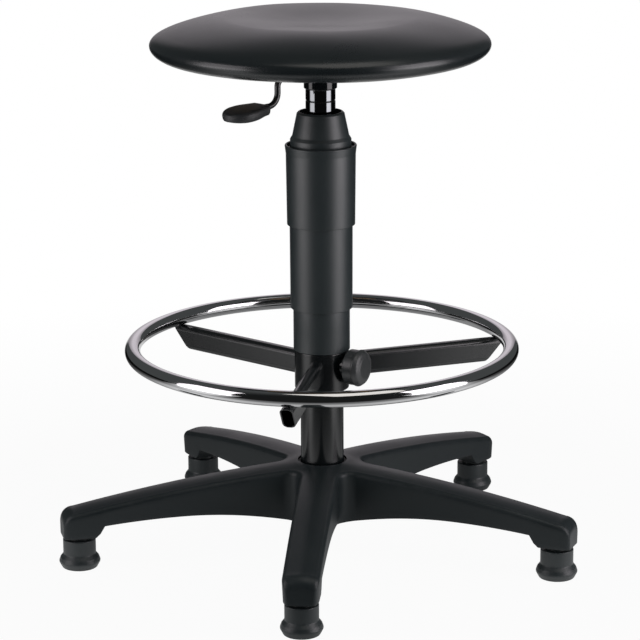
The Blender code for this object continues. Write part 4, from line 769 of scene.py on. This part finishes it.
# ---- stand, neck and cover
def make_stand():
    """Stand tube, plated neck, and the four pieces of the telescopic cover."""
    low, inner, floor = COLUMN_R - COLUMN_TAPER, COLUMN_R - COLUMN_WALL, COLUMN_BOTTOM + COLUMN_FLOOR
    turned_piece("stand_tube", [
        (COLUMN_FOOT_HOLE_R, COLUMN_BOTTOM), (low, COLUMN_BOTTOM, 0.0006), (COLUMN_R, COLUMN_TAPER_TOP),
        (COLUMN_R, COLUMN_TOP, 0.0006), (inner, COLUMN_TOP, 0.0004), (inner, COLUMN_TAPER_TOP),
        (low - COLUMN_WALL, floor), (COLUMN_FOOT_HOLE_R, floor)],
        COLUMN_PAINT, "base", "column")

    notch, head = SOCKET_GROOVE_Z, SOCKET_HEAD_BOTTOM
    turned_piece("glossy_neck", [
        (SOCKET_BORE_R, SOCKET_BOTTOM), (SOCKET_R, SOCKET_BOTTOM, 0.0004),
        (SOCKET_R, notch - SOCKET_NOTCH, 0.0003), (SOCKET_R - SOCKET_NOTCH, notch, 0.0003),
        (SOCKET_R, notch + SOCKET_NOTCH, 0.0003), (SOCKET_R, head - 0.0004, 0.0006),
        (SOCKET_HEAD_R, head, 0.0008), (SOCKET_HEAD_R, head + 0.003, 0.0008),
        (SOCKET_HEAD_R + SOCKET_LIP - 0.001, SOCKET_TOP - 0.002, 0.0006),
        (SOCKET_HEAD_R + 0.0004, SOCKET_TOP, 0.0006), (SOCKET_BORE_R, SOCKET_TOP)],
        GLOSS_PAINT, "seat", "cone_socket")

    slope, base_top, ledge = CAP_BASE_R - CAP_SLOPE_INSET, CAP_BASE + CAP_BAND_EDGE, CAP_SHOULDER - CAP_WALL
    inner_base, inner_top, hole = CAP_BASE_R - CAP_WALL, CAP_TOP_R - CAP_TOP_WALL, SOCKET_R + FIT
    turned_piece("cone_cap", [
        (UPPER_BORE_R, CAP_SKIRT_BOTTOM), (CAP_SKIRT_R, CAP_SKIRT_BOTTOM),
        (CAP_SKIRT_R, CAP_SHOULDER, 0.0002), (CAP_BASE_R, CAP_SHOULDER, 0.0008),
        (CAP_BASE_R, CAP_BASE, 0.0012), (slope, base_top, 0.004),
        (CAP_TOP_R + 0.001, CAP_TOP - 0.002, 0.0012), (CAP_TOP_R - 0.001, CAP_TOP, 0.001),
        (inner_top, CAP_TOP, 0.0006), (inner_top, CAP_WEB_TOP, 0.0005), (hole, CAP_WEB_TOP, 0.0002),
        (hole, CAP_WEB_FOOT), (inner_top, CAP_WEB_FOOT), (slope - CAP_WALL, base_top - 0.001),
        (inner_base, CAP_BASE), (inner_base, ledge), (UPPER_BORE_R, ledge)],
        SLEEVE_PLASTIC, "seat", "cover_cap")

    seat_r, lip, ledge = CAP_SKIRT_R + FIT, MIDDLE_TOP_R + COVER_RUN, CAP_SKIRT_BOTTOM - FIT
    turned_piece("upper_sleeve", [
        (lip, UPPER_BOTTOM, 0.0003), (UPPER_BOTTOM_R, UPPER_BOTTOM, 0.0007),
        (UPPER_TOP_R, UPPER_TOP - UPPER_RIM_HEIGHT, 0.006), (UPPER_RIM_R, UPPER_TOP - 0.0008, 0.001),
        (UPPER_RIM_R - 0.0006, UPPER_TOP, 0.0004), (seat_r, UPPER_TOP, 0.0003), (seat_r, ledge),
        (UPPER_BORE_R, ledge), (UPPER_BORE_R, UPPER_BOTTOM + COVER_LIP + 0.001),
        (lip, UPPER_BOTTOM + COVER_LIP)],
        SLEEVE_PLASTIC, "seat", "cover_upper")

    lip, bead = LOWER_R + COVER_RUN, MIDDLE_TOP_R + COVER_BEAD
    turned_piece("middle_sleeve", [
        (lip, MIDDLE_BOTTOM, 0.0003), (MIDDLE_BOTTOM_R, MIDDLE_BOTTOM, 0.0007),
        (MIDDLE_TOP_R, MIDDLE_TOP - COVER_LIP - 0.0005), (bead, MIDDLE_TOP - COVER_LIP, 0.0002),
        (bead, MIDDLE_TOP, 0.0005), (MIDDLE_TOP_R - COVER_WALL, MIDDLE_TOP, 0.0005),
        (MIDDLE_BOTTOM_R - COVER_WALL, MIDDLE_BOTTOM + COVER_LIP + 0.001), (lip, MIDDLE_BOTTOM + COVER_LIP)],
        SLEEVE_PLASTIC, "cover_middle", "cover_middle")

    inner, under_web = LOWER_R - LOWER_WALL, LOWER_TOP - COVER_WALL
    turned_piece("lower_sleeve", [
        (inner, LOWER_BOTTOM, 0.0003), (LOWER_R, LOWER_BOTTOM, 0.0006), (LOWER_R, LOWER_TOP, 0.0006),
        (LOWER_HOLE_R, LOWER_TOP, 0.0003), (LOWER_HOLE_R, under_web), (inner, under_web)],
        SLEEVE_PLASTIC, "base", "cover_lower")


# ---- foot ring and clamp
def on_clamp(surface):
    """A surface round +X, laid onto the clamp's axis."""
    return laid_out(surface, CLAMP_AZIMUTH, (0, 0, CLAMP_Z))


def boss_surface():
    """Boss round +X: rows from the hub's cylinder over a soft edge to its face and back along its bore."""
    turn = full_turn(72)
    hub = RING_HUB_R + FIT
    root, bore_root = [np.sqrt(hub ** 2 - (r * np.cos(turn)) ** 2) for r in (NUT_R, NUT_BORE_R)]
    bend = quarter(5)
    edge_x, edge_r = NUT_FAR - NUT_EDGE + NUT_EDGE * np.sin(bend), NUT_R - NUT_EDGE * (1 - np.cos(bend))
    rows = [(root, NUT_R), *zip(edge_x, edge_r), (NUT_FAR, NUT_BORE_R), (bore_root, NUT_BORE_R)]
    grid = np.stack([np.stack([x + 0 * turn, r * np.cos(turn), r * np.sin(turn)], -1) for x, r in rows])
    return skin(grid, wrap_rows=True)


def make_foot_ring():
    """Chromed ring, three oval arms with slanted open ends, hub, boss and knob."""
    a = full_turn(40)
    tube = np.stack([RING_R + RING_TUBE_R * np.cos(a), RING_Z + RING_TUBE_R * np.sin(a)], -1)
    ring = skin(turned_profile(tube, 256), wrap_rows=True)
    piece("chrome_ring", [ring], CHROME, "foot_ring", ["foot_ring"])
    arm = arm_tube()
    for index, azimuth in enumerate(ARM_AZIMUTHS):
        piece(f"oval_arm_{index + 1}", [laid_out(arm, azimuth)], BLACK_PAINT, "foot_ring",
              [f"ring_arm_{index + 1}"])

    hub = rounded([(RING_HUB_BORE_R, RING_HUB_BOTTOM, 0.0005), (RING_HUB_R, RING_HUB_BOTTOM, 0.0012),
                   (RING_HUB_R, RING_HUB_TOP, 0.0012), (RING_HUB_BORE_R, RING_HUB_TOP, 0.0005)])
    drill = np.array([(0, 0.01), (CLAMP_HOLE_R, 0.01), (CLAMP_HOLE_R, 0.052), (0, 0.052)])
    drill = on_clamp(skin(along_x(turned_profile(drill, 32))))
    whole_hub = solid_mesh("ring_sleeve_body", [skin(turned_profile(hub), wrap_rows=True)])
    sleeve = carved(whole_hub, [drill], "ring_sleeve_drilled")
    piece("ring_sleeve", sleeve, BLACK_PAINT, "foot_ring", ["ring_hub"])
    piece("clamp_boss", [on_clamp(boss_surface())], BLACK_PAINT, "foot_ring", ["clamp_nut"])

    skirt = KNOB_R - KNOB_STEP
    cavity = skirt - KNOB_SKIRT_WALL
    rim = KNOB_FAR - KNOB_RIM
    knob = rounded([(NUT_BORE_R, KNOB_NEAR), (cavity, KNOB_NEAR, 0.0015), (cavity, KNOB_SKIRT_START, 0.0006),
                    (skirt, KNOB_SKIRT_START, 0.0012), (skirt, rim, 0.0005),
                    (KNOB_R - 0.0002, rim + KNOB_STEP, 0.001), (KNOB_R, KNOB_FAR - 0.0068, 0.002),
                    (KNOB_R - 0.0032, KNOB_FAR - 0.0022, 0.006), (KNOB_R - 0.0095, KNOB_FAR, 0.006),
                    (0.0, KNOB_FAR + 0.0004)], closed=False)
    bore = [(0.0, KNOB_BORE_END), (NUT_BORE_R, KNOB_BORE_END), (NUT_BORE_R, KNOB_NEAR)]
    knob = on_clamp(skin(along_x(turned_profile(np.concatenate([knob, bore]), 96))))
    piece("round_knob", [knob], KNOB_NYLON, "clamp_knob", ["clamp_knob"])


def arm_tube():
    """Oval tube along +X: a rounded rectangle, each point run from the hub's cylinder to a slanted plane.

    Rows go out along the outer wall, over the end, back along the inner wall and over the root.
    """
    middle = ARM_TOP - ARM_HEIGHT / 2

    def rows(shrink, shares, shift=0.0):
        """The outline, drawn in by shrink, at several shares of the way out."""
        width, height, corner = ARM_WIDTH - 2 * shrink, ARM_HEIGHT - 2 * shrink, ARM_CORNER - shrink
        outline = rounded([(width / 2, -height / 2, corner), (width / 2, height / 2, corner),
                           (-width / 2, height / 2, corner), (-width / 2, -height / 2, corner)], steps=9)
        y, z = outline[:, 0], outline[:, 1]
        near = np.sqrt((RING_HUB_R + FIT) ** 2 - y * y)
        far = ARM_FAR_TOP - ARM_END_SLANT * (0.5 - z / ARM_HEIGHT)
        x = near + (far - near) * np.reshape(shares, (-1, 1)) + shift
        return np.stack([x, y + 0 * x, middle + z + 0 * x], -1)

    return skin(np.concatenate([
        rows(0.0, np.linspace(0, 1, 25)[:-1]), rows(0.0, 1.0, -ARM_EDGE_BACK), rows(ARM_EDGE, 1.0),
        rows(ARM_WALL - ARM_EDGE, 1.0), rows(ARM_WALL, 1.0, -ARM_EDGE_BACK),
        rows(ARM_WALL, np.linspace(1, 0, 9)[1:])]), wrap_rows=True)


# ---- seat and lever
def softened(points, reach):
    """Rounds a profile where it is widest: even steps, each moved to the bell-weighted mean about it.

    The move fades out away from the widest point, whose radius is put back at the end.
    """
    steps = np.linalg.norm(np.diff(points, axis=0), axis=1)
    along = np.concatenate([[0], np.cumsum(steps)])
    even = np.linspace(0, along[-1], 2 * len(points))
    line = np.stack([np.interp(even, along, points[:, 0]), np.interp(even, along, points[:, 1])], -1)
    weight = np.exp(-0.5 * ((even[:, None] - even) / reach) ** 2)
    mean = weight @ line / weight.sum(1)[:, None]
    share = np.exp(-((even - even[np.argmax(line[:, 0])]) / (4.5 * reach)) ** 2)
    soft = line + (mean - line) * share[:, None]
    soft[:, 0] += (points[:, 0].max() - soft[:, 0].max()) * share
    return soft


def cushion_profile():
    """Dish as a raised cosine, then two superellipse quarters that meet at the waist."""
    t = np.linspace(0, 1, DISH_ROWS + 1)[:-1]
    dish = np.stack([CUSHION_CROWN_R * t, CUSHION_CROWN - CUSHION_DISH * 0.5 * (1 + np.cos(math.pi * t))], -1)
    a = quarter(TOP_ROWS + 1)[:-1]
    t = np.sin(a)
    rise = (1 - t ** CUSHION_TOP_POWER) ** (1 / CUSHION_TOP_POWER)
    top = np.stack([CUSHION_CROWN_R + (CUSHION_R - CUSHION_CROWN_R) * t,
                    CUSHION_WAIST + (CUSHION_CROWN - CUSHION_WAIST) * rise], -1)
    t = np.cos(quarter(UNDER_ROWS))
    fall = (1 - t ** CUSHION_UNDER_POWER) ** (1 / CUSHION_UNDER_POWER)
    under = np.stack([CUSHION_UNDER_FLAT_R + (CUSHION_R - CUSHION_UNDER_FLAT_R) * t,
                      CUSHION_WAIST - (CUSHION_WAIST - SEAT_UNDERSIDE) * fall], -1)
    outer = softened(np.concatenate([top, under]), CUSHION_WAIST_SOFT)
    r = CUSHION_RECESS_R
    recess = np.array([(r + 0.0008, SEAT_UNDERSIDE), (r, SEAT_UNDERSIDE + 0.0008),
                       (r, CUSHION_RECESS_TOP), (0.0, CUSHION_RECESS_TOP)])
    return np.concatenate([dish, outer, recess])


def make_cushion():
    """Moulded foam seat: the profile turned, its top swelling slowly and faintly by three sines."""
    profile = cushion_profile()
    grid = turned_profile(profile, 192)
    a = np.arctan2(grid[..., 1], grid[..., 0])
    r = np.hypot(grid[..., 0], grid[..., 1])
    outer = np.clip((r - 0.02) / 0.06, 0, 1) * (grid[..., 2] > SEAT_UNDERSIDE + 0.0015)
    free = np.zeros(len(profile))
    free[:DISH_ROWS + 2 * (TOP_ROWS + UNDER_ROWS) - 4] = 1
    swell = np.sin(3 * a + 0.7) + 0.6 * np.sin(5 * a + 2.1 + 18 * r) + 0.5 * np.sin(8 * a - 25 * r)
    grid[..., 2] += CUSHION_SWELL * swell * outer * free[:, None] * np.clip((CUSHION_R - r) / 0.02, 0, 1)
    made = piece("foam_cushion", [skin(grid)], FOAM_SKIN, "seat", ["seat_cushion"], crease=50)


def lever_path():
    """Centre line of the rod: level, a quarter bend down, a quarter bend out, level."""
    knee = LEVER_KNEE_R - LEVER_PIVOT_R
    end = PADDLE_START_R + PADDLE_BORE - FIT - LEVER_PIVOT_R
    a = np.radians(np.linspace(90, 0, 13))
    b = np.radians(np.linspace(180, 270, 15))
    down = np.stack([knee - LEVER_KNEE_BEND + LEVER_KNEE_BEND * np.cos(a),
                     -LEVER_KNEE_BEND + LEVER_KNEE_BEND * np.sin(a)], -1)
    out = np.stack([knee + LEVER_FOOT_BEND + LEVER_FOOT_BEND * np.cos(b),
                    -LEVER_DROP + LEVER_FOOT_BEND + LEVER_FOOT_BEND * np.sin(b)], -1)
    start = -LEVER_PIVOT_R - LEVER_PAST_AXIS
    return np.concatenate([[(start, 0.0), (start + LEVER_END_EDGE, 0.0)], down, out, [(end, -LEVER_DROP)]])


def make_lever():
    """Bent round rod and its flat paddle."""
    path = lever_path()
    along = np.gradient(path, axis=0)
    along /= np.linalg.norm(along, axis=1)[:, None]
    side = np.stack([-along[:, 1], along[:, 0]], -1)
    radius = np.full((len(path), 1), LEVER_R)
    radius[0] = LEVER_R - LEVER_END_EDGE
    a = full_turn(28)
    x, z = [path[:, axis, None] + side[:, axis, None] * radius * np.cos(a) for axis in (0, 1)]
    grid = np.stack([x, radius * np.sin(a), z], -1)
    first, last = [np.broadcast_to(row.mean(0), row.shape)[None] for row in (grid[0], grid[-1])]
    pivot = (LEVER_PIVOT_R * math.cos(LEVER_AZIMUTH), LEVER_PIVOT_R * math.sin(LEVER_AZIMUTH), LEVER_Z)
    rod, paddle = [laid_out(skin(made), LEVER_AZIMUTH, pivot)
                   for made in (np.concatenate([first, grid, last]), paddle_grid())]
    piece("release_rod", [rod], BLACK_PAINT, "lever", ["lever_rod"])
    piece("release_paddle", [paddle], PADDLE_NYLON, "lever", ["lever_paddle"], crease=45)


def paddle_grid():
    """Flat paddle: a section with elliptic corners that grows from the neck and closes at the tip.

    Width grows as a squared sine over the first part and closes as a rounded root; the level falls
    as the square of the way along.
    """
    start = PADDLE_START_R - LEVER_PIVOT_R
    closing = 0.55 + 0.45 * np.sin(quarter(22))[1:]
    t = np.concatenate([[0, 0, 0, 0], np.linspace(0.03, 0.55, 16), closing])
    inset = np.concatenate([[0.0, 0.8, 0.93, 1.0], np.ones(len(t) - 4)])
    x = start + PADDLE_LENGTH * t
    x[2] += 0.0004
    x[3] += 0.0012
    neck = PADDLE_NECK_WIDTH / PADDLE_WIDTH
    grow = neck + (1 - neck) * np.sin(0.5 * math.pi * np.minimum(1.0, t / 0.5)) ** 2
    close = np.sqrt(np.clip(1 - np.clip((t - 0.55) / 0.45, 0, 1) ** 2.2, 0, 1))
    half = 0.5 * PADDLE_WIDTH * grow * close * inset
    fuller = (0.35 + 0.65 * close ** 0.6) * inset
    fuller[-1] = 0.0
    top = PADDLE_TOP * fuller
    under = (PADDLE_UNDER + PADDLE_BELLY * np.sin(math.pi * t)) * fuller
    edge = np.minimum(0.0048, 0.6 * half)
    q = np.radians(np.linspace(0, 90, 8))
    flat = np.linspace(1, -1, 9)[1:-1]

    def side(level, sign):
        """Half of the ring from the widest point over one face, for all rows at once."""
        y_corner = (half - edge)[:, None] + edge[:, None] * np.cos(q)
        z_corner = level[:, None] * np.sin(q) ** 0.9
        y_flat = (half - edge)[:, None] * flat
        z_flat = level[:, None] * (1 + 0.04 * (1 - flat ** 2))
        y = np.concatenate([y_corner, y_flat, -y_corner[:, ::-1]], 1)
        z = sign * np.concatenate([z_corner, z_flat, z_corner[:, ::-1]], 1)
        return y, z

    y_top, z_top = side(top, 1)
    y_low, z_low = side(under, -1)
    y = np.concatenate([y_top, y_low[:, ::-1][:, 1:-1]], 1)
    z = np.concatenate([z_top, z_low[:, ::-1][:, 1:-1]], 1)
    level = (-LEVER_DROP - PADDLE_FALL * t * t)[:, None]
    return np.stack([x[:, None] + 0 * y, y, level + z], -1)


# ---- studio
def softbox(name, place, aim, size, power, colour):
    """A rectangular lamp that faces its aim."""
    lamp = bpy.data.lights.new(name, "AREA")
    lamp.shape = "RECTANGLE"
    lamp.size, lamp.size_y = size
    lamp.energy = power
    lamp.color = colour
    box = linked(name, lamp)
    box.location = place
    box.rotation_euler = (Vector(aim) - Vector(place)).to_track_quat("-Z", "Y").to_euler()
    box.visible_camera = False


def stage_plane(name, corners, material):
    """One flat face of the studio."""
    mesh = bpy.data.meshes.new(name)
    mesh.from_pydata(corners, [], [(0, 1, 2, 3)])
    mesh.materials.append(material)
    made = linked(name, mesh)
    return made


def empty_tree(owner):
    """The cleared node tree of a material or the world."""
    owner.use_nodes = True
    owner.node_tree.nodes.clear()
    return owner.node_tree


def mirrored_ray(tree, rays):
    """1 for a ray that came by way of a mirror or glass."""
    return math_of(tree, "MAXIMUM", rays["Is Glossy Ray"], rays["Is Transmission Ray"])


def shown(tree, share, matt_grey, glow_colour, strength):
    """Surface of a stage plane: matt grey, with a share of plain glow."""
    matt = lay(tree, "BsdfDiffuse", None, Color=(matt_grey, matt_grey, matt_grey, 1)).outputs[0]
    glow = lay(tree, "Emission", None, Color=(*glow_colour, 1), Strength=strength).outputs[0]
    mixed = lay(tree, "MixShader", None, Fac=share, i1=matt, i2=glow).outputs[0]
    tree.links.new(mixed, lay(tree, "OutputMaterial").inputs["Surface"])


def make_floor():
    """Floor: white to the camera, less the object's shadow; in mirrors it shows painted light near, beside
    and behind the stool, with painted shade round the stool's foot.
    """
    floor = bpy.data.materials.new("studio_floor")
    tree = empty_tree(floor)
    rays = lay(tree, "LightPath").outputs
    spot = place_of(tree)
    reach = lay(tree, "VectorMath", {"operation": "LENGTH"}, i0=spot).outputs["Value"]
    parts = split(tree, spot)
    across, ahead = math_of(tree, "ABSOLUTE", parts["X"]), parts["Y"]
    deep = math_of(tree, "MAXIMUM", ahead, product(tree, ahead, -1.8))
    square = math_of(tree, "ADD", product(tree, across, across), product(tree, deep, deep))
    away = math_of(tree, "POWER", square, 0.5)
    # Painted light: in mirrors the floor glows brightest close to the stool and fades with distance.
    near = math_of(tree, "ADD", ramp(tree, away, 0.38, 0.66, 0.58, 0.0),
                   ramp(tree, away, 0.5, 1.15, 0.32, 0.012))
    # Painted shadow: that glow is dimmed right round the stool's foot, and dimmer behind it.
    near = product(tree, near, ramp(tree, reach, 0.14, 0.32, 0.45, 1.0),
                   ramp(tree, ahead, -0.05, 0.18, 1.0, 0.35))
    # Painted light: a patch of glow on each side, where the side soft boxes would light the floor.
    painted_side_glow = product(tree, ramp(tree, across, 0.26, 0.5, 0.0, 0.85),
                   ramp(tree, math_of(tree, "ADD", across, ahead), 0.0, 0.2), ramp(tree, ahead, 0.1, -0.25))
    # Painted light: a glow on the floor straight behind the stool.
    wedge = math_of(tree, "SUBTRACT", across, product(tree, ahead, 0.3))
    behind = product(tree, ramp(tree, wedge, 0.05, 0.25, 0.65, 0.0), ramp(tree, ahead, 0.3, 0.8))
    painted_floor_glow = math_of(tree, "MAXIMUM", math_of(tree, "MAXIMUM", near, behind), painted_side_glow)
    camera = rays["Is Camera Ray"]
    share = math_of(tree, "ADD", product(tree, camera, ramp(tree, reach, 0.5, 1.2, 0.955, 1.0)),
                    product(tree, mirrored_ray(tree, rays), ramp(tree, reach, 0.38, 0.68, 0.8, 1.0)), True)
    strength = lay(tree, "Mix", {"data_type": "FLOAT"}, i0=camera, i2=painted_floor_glow, i3=1.0).outputs[0]
    shown(tree, share, 0.55, (1, 1, 1), strength)
    far = FLOOR_HALF
    stage_plane("floor", [(-far, -far, 0), (far, -far, 0), (far, far, 0), (-far, far, 0)], floor)


def make_backdrop():
    """Backdrop behind the stool that only mirrors show: brightest in its middle, dim along its top."""
    wall = bpy.data.materials.new("studio_backdrop")
    tree = empty_tree(wall)
    rays = lay(tree, "LightPath").outputs
    seen = math_of(tree, "MAXIMUM", rays["Is Camera Ray"], mirrored_ray(tree, rays))
    spot = split(tree, place_of(tree))
    aside = math_of(tree, "ABSOLUTE", spot["X"])
    fade = product(tree, ramp(tree, spot["Z"], 0.5, 1.8, 0.58, 0.74),
                   ramp(tree, spot["Z"], 3.2, 3.5, 1.0, 0.3), ramp(tree, aside, 0.4, 1.4, 1.0, 0.45))
    shown(tree, seen, 0.8, (1, 0.93, 0.99), fade)
    half, y, top = BACKDROP_HALF, BACKDROP_Y, BACKDROP_TOP
    back = stage_plane("backdrop", [(-half, y, 0.0), (half, y, 0.0), (half, y, top), (-half, y, top)], wall)
    back.visible_camera = False


def make_world():
    """World: white to the camera, a dark room in mirrors that pales to the back, soft fill elsewhere."""
    scene.world = bpy.data.worlds.new("studio")
    tree = empty_tree(scene.world)
    rays = lay(tree, "LightPath").outputs
    heading = split(tree, lay(tree, "TexCoord").outputs["Generated"])["Y"]
    gloom = ramp(tree, heading, -0.6, 0.0, 0.012, 0.065)
    dim, soft, white = [
        lay(tree, "Background", None, Color=(*colour, 1), Strength=strength).outputs[0]
        for colour, strength in (((0.93, 1, 1), gloom), ((0.12, 0.15, 0.155), 1), ((1, 1, 1), 1))]
    room = lay(tree, "MixShader", None, Fac=mirrored_ray(tree, rays), i1=soft, i2=dim).outputs[0]
    mixed = lay(tree, "MixShader", None, Fac=rays["Is Camera Ray"], i1=room, i2=white).outputs[0]
    tree.links.new(mixed, lay(tree, "OutputWorld").inputs["Surface"])


def make_studio():
    """Floor, backdrop, world, a soft box on each side and one overhead."""
    make_floor()
    make_backdrop()
    make_world()
    for name, settings in SOFTBOXES.items():
        softbox(name, *settings)


def make_camera():
    """Pinhole camera solved from the five feet: yaw, pitch and roll about its own place."""
    lens = bpy.data.cameras.new("camera")
    lens.sensor_width = CAMERA_SENSOR
    lens.lens = CAMERA_LENS
    made = linked("camera", lens)
    turn = (Matrix.Rotation(CAMERA_YAW, 4, "Z") @ Matrix.Rotation(0.5 * math.pi + CAMERA_PITCH, 4, "X")
            @ Matrix.Rotation(CAMERA_ROLL, 4, "Z"))
    made.matrix_world = Matrix.Translation(CAMERA_PLACE) @ turn
    scene.camera = made


scene.view_settings.view_transform = "Standard"
dress_cad_nodes()
make_base()
make_stand()
make_foot_ring()
make_cushion()
make_lever()
make_studio()
make_camera()
